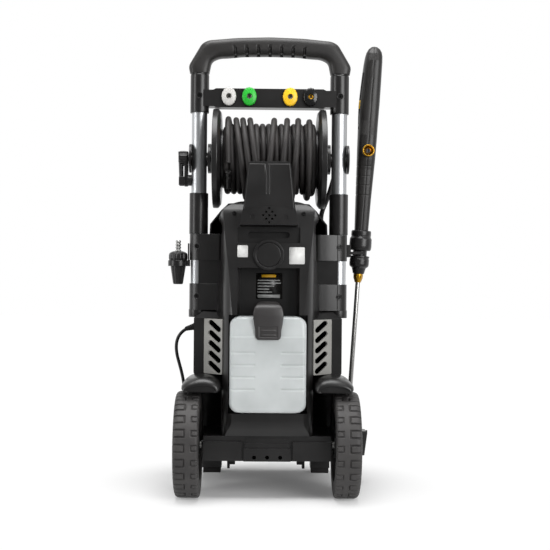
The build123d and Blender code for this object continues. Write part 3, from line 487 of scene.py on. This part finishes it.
def tyre(side, name):
    """A moulded tyre: its rounded square section, carried round the axle, with the tread pressed into it. The
    outer half has 23 pairs of grooves a turn, joined at their inner end and open over the shoulder; the inner half
    has 23 shorter pairs, joined at their outer end."""
    section = eased([(-25, 74), (-25, 103.5), (-22, 107), (17, 107), (23, 104), (25, 98), (25, 74)], 4, 7)
    _, wide, radius = resampled(section, 96)
    angle = np.linspace(0, 2 * pi, TREAD_PITCHES * 40, endpoint=False)
    x, a = np.meshgrid(wide, angle, indexing="ij")
    r = np.repeat(radius[:, None], len(angle), 1)
    pitch = 2 * pi * WHEEL_RADIUS / TREAD_PITCHES
    along = (a / (2 * pi) * TREAD_PITCHES % 1.0 - 0.5) * pitch
    beside = np.abs(along)
    top = np.clip((r - 92) / 8, 0, 1)
    groove = bump_near(beside - 7.3, 1.0, 0.9) * np.clip((x - 1.0) / 1.0, 0, 1)
    joined = bump_near(x - 2.2, 0.9, 0.9) * (beside < 8.3)
    slot = bump_near(beside - 5.4, 0.9, 0.8) * bump_near(x + 17.3, 6.2, 0.8)
    hook = bump_near(x + 11.4, 0.9, 0.8) * (beside < 6.3)
    depth = 3.4 * np.maximum(groove, joined) + 2.8 * np.maximum(slot, hook)
    r = r - depth * top * (x > -24.5)
    grid = np.stack([side * (WHEEL_X + x), AXLE_Y - r * np.sin(a), AXLE_Z + r * np.cos(a)], -1)
    skin("tyre_tread_" + name, grid, tyre_black, "wheel_" + name, ("tyre_" + name,), wrap_rows=True)


for side, name in SIDES:
    tyre(side, name)


# --- handle ------------------------------------------------------------------------------------------------

def between(outer, inner, steps):
    """The outer and inner edge of a bent bar as lines of so many steps. Each is given as the corners of its right
    half, from the middle on, and the radius that they are eased with."""
    lines = []
    for corners, radius in (outer, inner):
        corners = [(-px, pz) for px, pz in reversed(corners)] + [point for point in corners if point[0]]
        lines.append(np.stack(resampled(eased(corners, radius, 9), steps)[1:], -1))
    return lines


def handle_arch():
    """The grip over both tubes: a rounded square section between an outer and an inner edge line, bent over the
    elbows. Seven finger grooves, 24 mm apart, are pressed into the lower half of its back and notch its
    underside."""
    steps = 640
    over = [(0, 948.9), (70, 946.6), (130, 941), (143, 934), (170.5, 887), (167.5, 872)]
    under = [(0, 909.5), (58, 908.5), (84, 905.5), (106, 904.5), (122, 897), (127, 872)]
    outer, inner = between((over, 9), (under, 10), steps)
    turn = np.linspace(0, 2 * pi, 72, endpoint=False)
    up, out = drawn_out(np.cos(turn), 2 / 3), drawn_out(np.sin(turn), 2 / 3)
    middle, half = (outer + inner) / 2, (outer - inner) / 2
    flat = middle[:, None] + half[:, None] * up[None, :, None]
    y = np.repeat((TUBE_Y - 19 * out)[None], steps, 0)
    near = np.abs((flat[..., 0] + 12) % 24 - 12)
    low = np.clip(-up[None] / 0.15, 0, 1) * (out[None] > -0.3) * (np.abs(flat[..., 0]) < 90)
    pressed = bump_near(near, 2.0, 1.8) * low * 4.6
    grid = np.stack([flat[..., 0], y + pressed * np.maximum(out, 0)[None],
                     flat[..., 1] + pressed * np.maximum(-up, 0)[None]], -1)
    skin("handle_arch", grid, soft_touch, "chassis", ("handle_grip", "handle_cover"))


handle_arch()
for side, name in SIDES:
    # an open sleeve round the tube, with the ring that the arch clips over and a screw boss on its back
    turned("handle_sleeve_" + name, [(16.1, 789), (19.6, 789), (19.6, 868), (18.6, 869), (18.6, 880), (16.1, 880)],
           (side * TUBE_X, TUBE_Y, 0), UP, abs_black, "chassis")
    turned("handle_boss_" + name, [(0, 0), (7, 0), (7, 2.2), (5.2, 2.2), (4.6, 1.0), (0, 1.0)],
           (side * TUBE_X, TUBE_Y - 19.0, 824), OUTWARD, abs_black, "chassis", ease=0.5, sides=32)
    # the screw's dark steel is painted shade of the boss's recess
    turned("handle_screw_" + name, [(0, 0), (4.0, 0), (4.0, 0.8), (1.6, 0.8), (1.2, -0.2), (0, -0.2)],
           (side * TUBE_X, TUBE_Y - 20.0, 824), OUTWARD, screw_painted_shade, "chassis", ease=0.3, sides=24)


# --- bottle ------------------------------------------------------------------------------------------------

def bottle_body():
    """The blown bottle: a rounded rectangle in plan whose half width follows the rounded corners of the front
    view, with a sloping shoulder and four shallow grooves on each side of the front."""
    foot, top, corner, edge = 176.5, 368, 19.0, 6.0
    height = np.concatenate([np.linspace(foot, 196, 22), np.linspace(197, 347, 150), np.linspace(348, top, 24)])
    end = np.minimum(height - foot, top - height)
    half = 76.4 - corner + np.sqrt(np.maximum(corner ** 2 - np.maximum(corner - end, 0) ** 2, 0))
    pull = edge - np.sqrt(np.maximum(edge ** 2 - np.maximum(edge - end, 0) ** 2, 0))
    slope = 7.0 * np.clip((height - 328) / 40, 0, 1) ** 1.2 + 1.2 * np.clip((height - 327) / 2.0, 0, 1)
    front, back = -149.9 + pull + slope, -86.2 - pull
    # round the plan from the front's left end: where the corner's middle is, from -1 to 1 of the way in x and y,
    # and the direction from it to the wall
    bend, r = np.linspace(0, pi / 2, 9), 9.0
    wide, deep = np.linspace(-1, 1, 100), np.linspace(-1, 1, 4)
    zero, one = np.zeros(100), np.ones(100)
    ux = np.concatenate([wide, one[:22], -wide[::4], -one[:22]])
    rise, fall = np.sin(bend), np.cos(bend)
    cx = np.concatenate([zero, rise, one[:4], fall, zero[::4], -rise, -one[:4], -fall])
    uy = np.concatenate([-one, -one[:9], deep, one[:9], one[::4], one[:9], -deep, -one[:9]])
    cy = np.concatenate([-one, -fall, zero[:4], rise, one[::4], fall, zero[:4], -rise])
    x = ux[None] * (half[:, None] - r) + r * cx[None]
    y = ((front + back) / 2)[:, None] + uy[None] * (((back - front) / 2)[:, None] - r) + r * cy[None]
    z = np.repeat(height[:, None], len(ux), 1)
    facing = np.clip((-cy[None] - 0.6) / 0.4, 0, 1)
    for level in (296.6, 271.8, 248.0, 223.3):
        ends = np.clip((np.abs(x) - 25) / 2.5, 0, 1)
        y = y + 1.5 * facing * ends * np.exp(-((z - level) / 1.9) ** 2)
    skin("bottle_body", np.stack([x, y, z], -1), bottle_milky, "detergent_bottle", ("bottle",))


bottle_body()
turned("bottle_neck", [(0, 366), (18.9, 366), (18.9, 382), (16, 382), (16, 368.6), (0, 368.6)], (0, -124, 0), UP,
       bottle_milky, "detergent_bottle")


# --- spray nozzles in the rack -----------------------------------------------------------------------------

def nozzle(place, finish, body, node, insert_finish):
    """A quick-change nozzle: an oval collar with a scalloped rim and a gently domed face, its stem in the rack, and
    the metal insert in its bore. The oval is 30 by 38 mm; its rim swells 16 times a turn."""
    profile = eased([(0.0, 1.5), (0.94, 1.5), (1.0, 3.0), (1.0, 6.8), (0.93, 8.8), (0.6, 10.6), (0.42, 11.2),
                     (0.375, 10.6), (0.36, 6.0), (0.0, 6.0)], 0.7, 4)
    sides, radius = 128, profile[:, :1]
    angle = np.linspace(0, 2 * pi, sides, endpoint=False)
    edge = np.clip((radius - 0.8) / 0.15, 0, 1)
    swell = 1 + 0.022 * edge * (np.abs(np.cos(8 * angle)) ** 0.7 * 2 - 1)[None]
    tall = 15.0 + 4.0 * np.clip((radius - 0.55) / 0.3, 0, 1)
    grid = np.stack([place + radius * 15.0 * swell * np.sin(angle)[None],
                     np.repeat(RACK_FACE - profile[:, 1:], sides, 1),
                     RACK_Z + radius * tall * swell * np.cos(angle)[None]], -1)
    skin(body + "_collar", grid, finish, body, (node,))
    seat = (place, RACK_FACE, RACK_Z)
    turned(body + "_stem", [(0, -17), (6.8, -17), (7.9, -15), (7.9, 2), (0, 2)], (place, -38, RACK_Z), OUTWARD,
           zinc_steel, body, sides=32)
    turned(body + "_insert", [(0, 6), (5.2, 6), (5.2, 9.6), (4.4, 10.0), (3.0, 8.8), (2.6, 7.0), (0, 7.0)],
           seat, OUTWARD, insert_finish, body, ease=0.4, sides=32)
    # a black disc on the insert's middle: painted shade of the orifice
    turned(body + "_painted_orifice_shade", [(0, 6.6), (1.9, 6.6), (1.9, 7.3), (0, 7.3)], seat, OUTWARD, rubber_black, body,
           ease=0.1, sides=24)


# the first three tips' inserts take the darkened steel, which is painted shade of their bores
nozzle(-85.0, acetal_grey, "spray_tip_white", "nozzle_wide", bore_painted_shade_steel)
nozzle(-42.5, acetal_green, "spray_tip_green", "nozzle_green", bore_painted_shade_steel)
nozzle(42.5, acetal_yellow, "spray_tip_yellow", "nozzle_yellow", bore_painted_shade_steel)
nozzle(85.0, gloss_black, "spray_tip_black", "nozzle_soap", brass)


# --- gun and lance -----------------------------------------------------------------------------------------

# Heights on the gun and the lance are measured up the lance's tilted line from GUN_FOOT.
GUN_FOOT = np.array([180.5, 40.0, 225.0])
TILT = radians(3.6)
LANCE = np.array([sin(TILT), 0.0, cos(TILT)])
ACROSS = np.array([cos(TILT), 0.0, -sin(TILT)])


def gun_body():
    """The gun's two half shells as one skin: sections up the lance's line, rounded squares between the left and
    right edge and the front and back edge of the gun at that height. The trigger's slot is pressed in on the left,
    and the seam and four grip lines are fine grooves."""
    left_edge = [(324, -15), (387, -17.5), (455, -20), (500, -22), (540, -23.2), (594, -25), (629, -23.5),
                 (660, -21.6), (681, -20.3), (697, -18.6), (708, -16.2), (716, -12.2), (721, -6.5), (722.9, 0)]
    right_edge = [(324, 14.5), (390, 15.5), (470, 18), (545, 19), (600, 19.8), (650, 19.8), (690, 19.5),
                  (702, 18.9), (711, 16.8), (717.5, 12.4), (721.5, 6.5), (722.9, 0.5)]
    back_edge = [(324, -14), (400, -17), (455, -19), (476, -22.5), (490, -24), (528, -24), (545, -20.5),
                 (560, -18), (640, -18), (690, -16.5), (706, -13), (716, -8), (721, -2.5), (722.9, 3)]
    front_edge = [(324, 14), (455, 19), (540, 22), (600, 26), (650, 30), (680, 30), (700, 27.5), (712, 22),
                  (719, 15), (722.9, 6)]
    height = np.concatenate([np.linspace(324, 700, 330), 723 - 23 * np.linspace(0.99, 0.0, 40) ** 2])
    left, right, back, front = (np.interp(height, *np.transpose(edge))[:, None]
                                for edge in (left_edge, right_edge, back_edge, front_edge))
    turn = np.linspace(0, 2 * pi, 176, endpoint=False)
    sx, sy = drawn_out(np.cos(turn), 2 / 2.7), drawn_out(np.sin(turn), 2 / 2.7)
    x = (left + right) / 2 + (right - left) / 2 * sx[None]
    y = (back + front) / 2 + (front - back) / 2 * sy[None]
    h = np.repeat(height[:, None], len(turn), 1)
    seam = 0.7 * bump_near(x, 0.5, 0.5) * (np.abs(sy[None]) > 0.5)
    rings = sum(0.7 * bump_near(h - level, 0.5, 0.6) for level in (400.0, 421.0, 440.5, 462.0)) * (x < 9)
    inwards = np.maximum(seam, rings)
    slot = bump_near(y, 7.8, 0.8) * bump_near(h - 603, 61, 1.5) * (x < 0)
    x = x - np.sign(x) * np.abs(sx[None]) * inwards
    y = y - sy[None] * inwards
    x = np.where(slot > 0, x + (5.0 - x) * slot, x)
    grid = GUN_FOOT + x[..., None] * ACROSS + y[..., None] * np.array([0, 1.0, 0]) + h[..., None] * LANCE
    skin("gun_body", grid, soft_touch, "spray_gun", ("gun_shell_left", "gun_shell_right"))


gun_body()
inlet = GUN_FOOT + 494 * LANCE
turned("gun_inlet",
       [(0, 16), (11, 16), (11, 22), (13, 22.4), (13, 31.6), (12.2, 33), (10.4, 33), (9.4, 31.4), (8.2, 28.6),
        (6.9, 25.6), (3.6, 22.6), (2.9, 20), (0, 20)],
       inlet, OUTWARD, brass, "spray_gun", ("gun_valve",), ease=0.6, sides=48)
# a black disc over the floor of the inlet's funnel: painted shade of its bore
turned("gun_inlet_painted_bore_shade", [(0, 19.6), (2.8, 19.6), (2.8, 20.8), (0, 20.8)],
       inlet, OUTWARD, rubber_black, "spray_gun", ease=0.2, sides=32)
turned("lance_collar_body",
       [(10, 230.6), (12, 231), (15, 243), (20, 247), (21, 251), (21, 262), (20.2, 263), (20.2, 265), (21, 266),
        (21, 269), (15, 269.7), (15, 280.7), (22, 281.4), (23.4, 285), (24, 290), (23.6, 306), (21.4, 310),
        (20.6, 312), (21.4, 313), (21.4, 321), (20.4, 323.9), (10, 323.9)],
       GUN_FOOT, LANCE, abs_black, "spray_gun", ("lance_collar",), ease=1.0, sides=72)
turned("lance_brass", [(5.1, 212), (6.5, 212), (7.2, 214), (9.8, 221), (10, 222), (10.5, 230.5), (5.1, 230.5)],
       GUN_FOOT, LANCE, brass, "spray_gun", ("lance_coupling",), ease=0.5, sides=6)
turned("lance_pipe", [(0, -85), (5, -85), (5, 240), (0, 240)],
       GUN_FOOT, LANCE, stainless, "spray_gun", ("lance_tube",), ease=0.4, sides=40)
turned("lance_tip_guard",
       [(5.05, -66), (8.4, -67), (9, -70), (9, -96), (6.4, -103.6), (3, -104), (2.6, -86), (5.05, -85.4)],
       GUN_FOOT, LANCE, nylon_black, "spray_gun", ("lance_tip",), ease=0.6, sides=40, ribs=12, rib_depth=0.02)


# --- turbo nozzle ------------------------------------------------------------------------------------------

turned("turbo_body",
       [(0, 430), (8.6, 430), (10, 432), (15.6, 470), (17.6, 478), (18.8, 484), (18.8, 491), (17.6, 495),
        (13, 498), (8, 499.4), (0, 499.4)],
       TURBO_FOOT, UP, nylon_black, "turbo", ("turbo_nozzle",), ease=1.2, sides=120, ribs=10, rib_depth=0.045)
turned("turbo_plug",
       [(0, 497), (6.2, 497), (6.2, 501), (4.6, 502), (4.6, 505), (5.8, 505.6), (5.8, 508), (4.6, 508.6),
        (4.6, 511), (5.8, 511.6), (5.8, 514), (4.6, 514.6), (4.6, 517), (5.4, 518), (5.4, 520.6), (4.4, 522),
        (0, 522)],
       TURBO_FOOT, UP, zinc_steel, "turbo", ease=0.4, sides=40)


# --- crank -------------------------------------------------------------------------------------------------

turned("crank_knob",
       [(0, 169.5), (13.0, 169.5), (14.4, 172), (14.8, 178), (14.4, 187), (12.6, 189.6), (6, 189.9), (5, 188.4),
        (0, 188.4)],
       REEL_AXLE, LEFTWARD, nylon_black, "reel", ("crank_arm",), ease=1.4, sides=120, ribs=7, rib_depth=0.11)
prism("crank_lever",
      [(-31, 700), (-29, 690), (-27.5, 646), (-25, 637), (-20, 634.5), (-15, 637), (-12.5, 646), (-11, 690),
       (-9, 700)],
      -177.6, -169.4, nylon_black, "reel", plane="yz", bevel=1.8)
turned("crank_boss", [(0, 160.4), (9.5, 160.4), (11.5, 162), (11.5, 170), (0, 170)],
       (0, REEL_Y, 648), LEFTWARD, nylon_black, "reel", sides=40)
for side, name in ((-1, "front"), (1, "rear")):
    prism("crank_ear_" + name, [(-188.5, 637), (-176, 637), (-176, 655), (-188.5, 655)],
          REEL_Y + side * 9.2, REEL_Y + side * 12.2, nylon_black, "reel", bevel=1.0)


# --- fenders, clamps, grilles and holster ------------------------------------------------------------------

for side, name in SIDES:
    # a domed lens with a sunk panel in its back face: one outline in X and Z, scaled from section to section
    rim = eased_loop([(96, 217), (168, 217), (173, 222), (172, 231), (161, 241), (140, 248), (120, 249), (104, 244),
                      (95, 234), (93, 224)], 8, 6)
    sections = np.array([(-146.5, 0.70, 0.38), (-146.5, 0.72, 0.40), (-149.6, 0.745, 0.425), (-150, 0.76, 0.44),
                         (-150, 0.80, 0.50), (-149.2, 0.85, 0.58), (-147, 0.90, 0.70), (-143, 0.95, 0.82),
                         (-137, 0.98, 0.91), (-126, 1, 0.97), (-112, 1, 1), (-75, 1, 1), (-40, 1, 1),
                         (-24, 1, 0.97), (-12, 0.98, 0.88), (-4, 0.94, 0.74), (-1, 0.88, 0.60),
                         (0, 0.80, 0.50)])[:, None]
    middle, foot = 133, 217
    skin("fender_" + name, np.stack([side * (middle + (rim[None, :, 0] - middle) * sections[..., 1]),
                                     sections[..., 0] + 0 * rim[None, :, 0],
                                     foot + (rim[None, :, 1] - foot) * sections[..., 2]], -1),
         abs_black, "chassis", ("fenders",) if side < 0 else ())

    # each clamp is a band bent from the shell's side round the tube, with a sunk screw; the lower has a foot
    band = [(100, -43), (100, -49), (106, -49), (128, -46.6), (150, -41.4), (161, -34.5), (165, -25), (165, -12),
            (163.2, -12), (163.2, -24), (159.6, -31.4), (149, -37.6), (128, -42.6)]
    for level, low, high in (("upper", 481, 535), ("lower", 377, 432)):
        prism("clamp_" + level + "_" + name, eased_loop([(side * px, py) for px, py in band], 12, 7), low, high,
              nylon_black, "chassis", ("clamps_" + level,) if side < 0 else (), bevel=1.8, plane="xy")
        seat, out = (side * 148, -42.0, (low + high) / 2 + 1.5), (side * 0.24, -0.97, 0)
        turned("clamp_seat_" + level + "_" + name,
               [(0, -0.6), (6.6, -0.6), (6.6, 0.5), (5.6, 0.9), (4.9, 0.2), (4.7, -0.5), (0, -0.5)],
               seat, out, abs_black, "chassis", ease=0.3, sides=40)
        # the screw's dark steel is painted shade of the seat's recess
        turned("clamp_screw_" + level + "_" + name,
               [(0, -0.55), (3.9, -0.55), (3.9, 0.0), (3.3, 0.4), (1.7, 0.4), (1.5, -0.3), (0, -0.3)],
               seat, out, screw_painted_shade, "chassis", ("screws",) if (side, level) == (-1, "upper") else (),
               ease=0.2, sides=32)
    turned("clamp_foot_" + name, [(16.1, 362), (19.3, 362), (19.3, 378), (16.1, 378)], (side * TUBE_X, TUBE_Y, 0),
           UP, nylon_black, "chassis", sides=72)
    # the screw's dark steel is painted shade of its hole in the shell
    turned("shell_screw_" + name,
           [(0, -1.0), (4.4, -1.0), (4.4, 0.2), (3.6, 0.7), (1.8, 0.7), (1.5, -0.4), (0, -0.4)],
           (side * 70, -111.6, 575), (0, -1, 0.25), screw_painted_shade, "chassis", ease=0.3, sides=32)


def slotted_plate(name, side, finish, nodes=()):
    """An air grille: a plate on the slope beside the shell, with five slanting slots with round ends. The outline
    and the slots are flat loops, filled between, thickened and bevelled."""
    outline = eased_loop([(92.4, 249), (131, 249), (131, 361), (92.4, 361)], 2.5, 4)
    bend = np.linspace(-pi / 2, pi / 2, 9)
    capsule = np.vstack([np.stack([10.2 + 5.6 * np.cos(bend), 5.6 * np.sin(bend)], -1),
                         np.stack([-10.2 - 5.6 * np.cos(bend), -5.6 * np.sin(bend)], -1)])
    lean = radians(40)
    slot = capsule @ np.array([[cos(lean), sin(lean)], [-sin(lean), cos(lean)]]) + (108.6, 263.4)
    loops = [outline] + [slot + (0, 20.8 * index) for index in range(5)]
    flat = np.vstack(loops)
    starts = np.cumsum([0] + [len(loop) for loop in loops])
    edges = np.vstack([np.stack([np.arange(n), np.roll(np.arange(n), -1)], -1) + start
                       for n, start in zip(np.diff(starts), starts)])
    points = np.stack([side * flat[:, 0], -114 + (flat[:, 0] - 92) * 38 / 39, flat[:, 1]], -1)
    mesh = bpy.data.meshes.new(name)
    mesh.from_pydata((points * MM).tolist(), edges.tolist(), [])
    work = bmesh.new()
    work.from_mesh(mesh)
    bmesh.ops.triangle_fill(work, use_beauty=True, edges=work.edges, normal=(side * 0.7, -0.7, 0))
    bmesh.ops.recalc_face_normals(work, faces=work.faces)
    work.faces.ensure_lookup_table()
    if work.faces[0].normal.y > 0:
        bmesh.ops.reverse_faces(work, faces=work.faces)
    work.to_mesh(mesh)
    work.free()
    obj = piece(name, mesh, finish, "chassis", nodes)
    thick = obj.modifiers.new("wall", "SOLIDIFY")
    thick.thickness, thick.offset = 3.6 * MM, -1.0
    round_edges(obj, 0.9, 2, 40.0)


# both grilles' pale grey is painted light that their slope catches
slotted_plate("grille_left", -1, grille_painted_light, ("vent_grilles",))
slotted_plate("grille_right", 1, grille_painted_light)


def holster_face():
    """The raised face of the holster: it follows the tapering sides, its foot is a shallow arch, it is hollowed a
    little across, and two fine grooves with a wedge over them run down its middle."""
    level = np.linspace(0, 1, 90)[:, None]
    across = np.linspace(-1, 1, 160)[None]
    foot, top = 587.0 - 6.5 * across ** 2, 671.5
    z = foot + (top - foot) * level
    half = np.interp(z, [550, 588, 676], [56.0, 49.0, 40.0])
    x = half * across
    grooves = np.maximum(bump_near(x + 4.7, 0.6, 0.8), bump_near(x - 1.2, 0.6, 0.8)) * bump_near(z - 640, 26, 3)
    wedge = bump_near(x + 6.5, 0.4, 3.2) * np.clip((z - 648) / 22, 0, 1)
    rim = np.minimum(1, np.minimum((1 - np.abs(across)) * half, np.minimum(z - foot, top - z) + 0 * x) / 1.6)
    round_rim = 1.3 * np.sqrt(np.maximum(1 - (1 - rim) ** 2, 0))
    y = -151.9 - round_rim + 1.2 * grooves + 0.9 * wedge + 0.7 * (1 - across ** 2)
    front = np.stack([x, y, z], -1)
    back = np.stack([x, -151.2 + 0 * x, z], -1)
    skin("holster_face", np.concatenate([front, back[:, ::-1]], 1), abs_black, "chassis")


holster_face()


# --- stickers and rating plate -----------------------------------------------------------------------------

def label(name, left, right, low, high, lean, thick, finish):
    """A blank sticker or plate: a rectangle in X and Z with eased corners, on the surface whose Y lean gives for a
    height."""
    rim = eased_loop([(left, low), (right, low), (right, high), (left, high)], 2.0, 4)
    y = lean(rim[:, 1])
    skin(name, np.stack([np.stack([rim[:, 0], y + 0.3, rim[:, 1]], -1),
                         np.stack([rim[:, 0], y - thick, rim[:, 1]], -1)]), finish, "chassis")


def leaning(z):
    """The depth of the back shell's leaning face between its cap and its slot."""
    return -124.0 - 8.0 * (515 - z) / 50


def sunk(z):
    """The depth of the recess over the bottle."""
    return -84.0 + 0 * z


label("sticker_left", -62.8, -41.8, 486, 510, leaning, 0.5, vinyl_white)
label("sticker_right", 41, 72, 473, 507, leaning, 0.5, vinyl_white)
label("rating_plate", -25, 28.7, 402, 455, sunk, 0.6, plate_black)
label("rating_plate_amber", -14, 16, 446, 452, sunk, 0.8, plate_amber)
for row, (end, low, high) in enumerate([(24, 404, 411), (8, 415, 417), (2, 421, 423), (12, 427, 429),
                                        (26, 433, 435.5), (24, 439, 441)]):
    label("rating_plate_bar_%d" % row, -22, end, low, high, sunk, 0.8, plate_foil)


# --- filler lid --------------------------------------------------------------------------------------------

def lid_form():
    """The lid: a flat rounded section swept up the tab before the bottle and over the neck to the hinge. The tab's
    foot has a sunk field with two ridges to pull on."""
    path = eased([(-153.4, 322.4), (-153.4, 374), (-149.5, 389), (-134, 396.6), (-118, 394.0), (-111.6, 389.8)],
                 12, 12)
    even, y, z = resampled(path, 150)
    ahead = np.stack([np.gradient(y), np.gradient(z)], -1)
    ahead /= np.linalg.norm(ahead, axis=1)[:, None]
    marks = [0, 3, 8, 20, 31, 42, 53, 64, 73, 88, 104, even[-1]]
    half = np.interp(even, marks, [20.5, 24, 25.5, 26.2, 28.2, 29.8, 29.8, 27.5, 23.5, 18.0, 14.4, 13.4])
    turn = np.linspace(0, 2 * pi, 112, endpoint=False)
    across, out = drawn_out(np.cos(turn), 0.35), drawn_out(np.sin(turn), 0.45)
    x = half[:, None] * across[None]
    thick = 2.3 * out[None] * (np.clip(even / 1.5, 0.6, 1)[:, None]) - 1.8 * (x / 30) ** 2
    field = bump_near(x, 17.8, 1.0) * bump_near(z[:, None] - 338, 10.6, 0.8) * (out[None] > 0)
    ridge = np.maximum(bump_near(z[:, None] - 340.5, 0.7, 1.0), bump_near(z[:, None] - 331.4, 0.7, 1.0))
    thick = thick - field * (1.1 - 0.9 * ridge * bump_near(x, 13, 1.5))
    side_y, side_z = -ahead[:, 1:], ahead[:, :1]
    grid = np.stack([x, y[:, None] + thick * side_y, z[:, None] + thick * side_z], -1)
    skin("lid_form", grid, lid_black, "bottle_lid", ("filler_lid",))


lid_form()
turned("lid_knuckle", [(0, -13.5), (3.2, -13.5), (3.2, 13.5), (0, 13.5)], LID_HINGE, (1, 0, 0), nylon_black,
       "bottle_lid", ease=0.5, sides=32)
turned("lid_pin", [(0, -24), (1.4, -24), (1.4, 24), (0, 24)], LID_HINGE, (1, 0, 0), zinc_steel, "bottle_lid",
       ease=0.3, sides=24)


# --- the cords' fittings -----------------------------------------------------------------------------------

# the connector on the hose's end, from the winding downwards
START, END = np.array([-84.0, -97.5, 660.6]), np.array([-84.0, -73.4, 628.7])
hose_end = turned("hose_end",
                  [(0, 0), (6.6, 0), (7, 1.5), (7, 9), (6.2, 10), (6.2, 12), (7, 13), (7, 22), (6.4, 23), (6.4, 38),
                   (5.2, 40), (0, 40)],
                  START, END - START, nylon_black, "reel", ("hose_connector",), ease=0.5, sides=40, ribs=12,
                  rib_depth=0.02)

# the lead's ribbed boot and the flange that it stands on
turned("gland_boot",
       [(0, 1.0), (8.4, 1.0), (8.4, 3.6), (7.3, 4.2), (6.8, 6.0), (7.2, 7.2), (6.4, 8.4), (6.1, 10.2), (6.5, 11.4),
        (5.8, 12.6), (5.5, 14.4), (5.9, 15.6), (5.2, 16.8), (5.0, 18.6), (5.3, 19.6), (4.7, 20.6), (4.2, 24.0),
        (0, 24.0)],
       GLAND, CABLE_DROP, rubber_black, "chassis", ("cable_gland",), ease=0.5, sides=40)
turned("gland_flange", [(0, 9), (8.4, 9), (8.4, 12.6), (7, 13), (0, 13)], GLAND + (10.0, 0, 0), LEFTWARD,
       rubber_black, "chassis", ease=0.6, sides=40)


# --- floor, light and background ---------------------------------------------------------------------------

def seen_white(tree):
    """Two sockets: 1 for rays from the camera and through clear pieces, and 1 for rays off polished faces. Both
    are 0 for the light on the object."""
    path = add(tree, "ShaderNodeLightPath").outputs
    return combined(tree, "MAXIMUM", path["Is Camera Ray"], path["Is Transmission Ray"]), path["Is Glossy Ray"]


# The studio: white all round to the eye; polished faces mirror white behind and beside, and a dimmer room in
# front, where the stands and the lamps' backs are.
FRONT_ROOM = 0.24
world = bpy.data.worlds.new("studio")
bpy.context.scene.world = world
world.use_nodes = True
sky = world.node_tree
background = sky.nodes["Background"]
background.inputs["Color"].default_value = (1, 1, 1, 1)
white, mirrored = seen_white(sky)
way = add(sky, "ShaderNodeSeparateXYZ", {"Vector": add(sky, "ShaderNodeTexCoord").outputs["Generated"]}).outputs
room = combined(sky, "MAXIMUM", ramp(sky, way["Y"], -0.5, 0.45, FRONT_ROOM), ramp(sky, way["Z"], 0.3, 0.9, 0.0))
strength = blended(sky, white, blended(sky, mirrored, 0.3, room), 1.0)
sky.links.new(strength, background.inputs["Strength"])

# Seamless white paper, matt: it takes the soft shadow near the object, and turns to plain white further off.
paper, paper_tree, paper_shader = finish_of("seamless_paper", Roughness=0.95, Specular_IOR_Level=0.1)
spot = add(paper_tree, "ShaderNodeTexCoord").outputs["Object"]
grain = add(paper_tree, "ShaderNodeTexNoise", {"Vector": spot, "Scale": 900.0})
tooth = add(paper_tree, "ShaderNodeBump", {"Height": grain.outputs["Fac"], "Strength": 0.03, "Distance": 0.0002})
drive(paper_tree, paper_shader, "Normal", tooth.outputs["Normal"])
shifted = add(paper_tree, "ShaderNodeMapping",
              {"Vector": spot, "Location": (0.0, -0.055, 0.0), "Scale": (1.0, 1.1, 1.0)}).outputs["Vector"]
away = add(paper_tree, "ShaderNodeVectorMath", {0: shifted}, operation="LENGTH").outputs["Value"]
white, mirrored = seen_white(paper_tree)
share = combined(paper_tree, "MULTIPLY", ramp(paper_tree, away, 0.18, 0.42, 0.1, kind="SMOOTHSTEP"),
               combined(paper_tree, "MAXIMUM", white, mirrored))
ahead = add(paper_tree, "ShaderNodeSeparateXYZ", {"Vector": spot}).outputs["Y"]
level = blended(paper_tree, white, ramp(paper_tree, ahead, -1.0, 0.2, FRONT_ROOM), 1.0)
drive(paper_tree, paper_shader, "Base Color",
      blended(paper_tree, share, (0.9, 0.9, 0.9, 1), (0, 0, 0, 1), "RGBA"))
drive(paper_tree, paper_shader, "Emission Strength", combined(paper_tree, "MULTIPLY", share, level))
paper_shader.inputs["Emission Color"].default_value = (1, 1, 1, 1)

floor_mesh = bpy.data.meshes.new("floor")
floor_mesh.from_pydata([(-9, -9, 0), (9, -9, 0), (9, 9, 0), (-9, 9, 0)], [], [(0, 1, 2, 3)])
floor_mesh.materials.append(paper)
floor = linked("floor", floor_mesh)


def lamp(name, place, aim, size, power):
    """A soft box, size metres wide and high, at place in metres, turned to aim."""
    light = linked(name, bpy.data.lights.new(name, "AREA"))
    light.data.energy, light.data.shape = power, "RECTANGLE"
    light.data.size, light.data.size_y = size
    away = Vector(place) - Vector(aim)
    light.matrix_world = Matrix.Translation(place) @ away.to_track_quat("Z", "Y").to_matrix().to_4x4()


lamp("key_right", (1.8, -2.4, 1.2), (0, 0, 0.5), (1.8, 1.8), 62)
lamp("strip_left", (-2.2, -1.1, 1.0), (0, 0, 0.5), (0.6, 1.8), 18)
lamp("top", (-0.1, -0.5, 2.6), (0, 0, 0.4), (1.6, 1.6), 50)
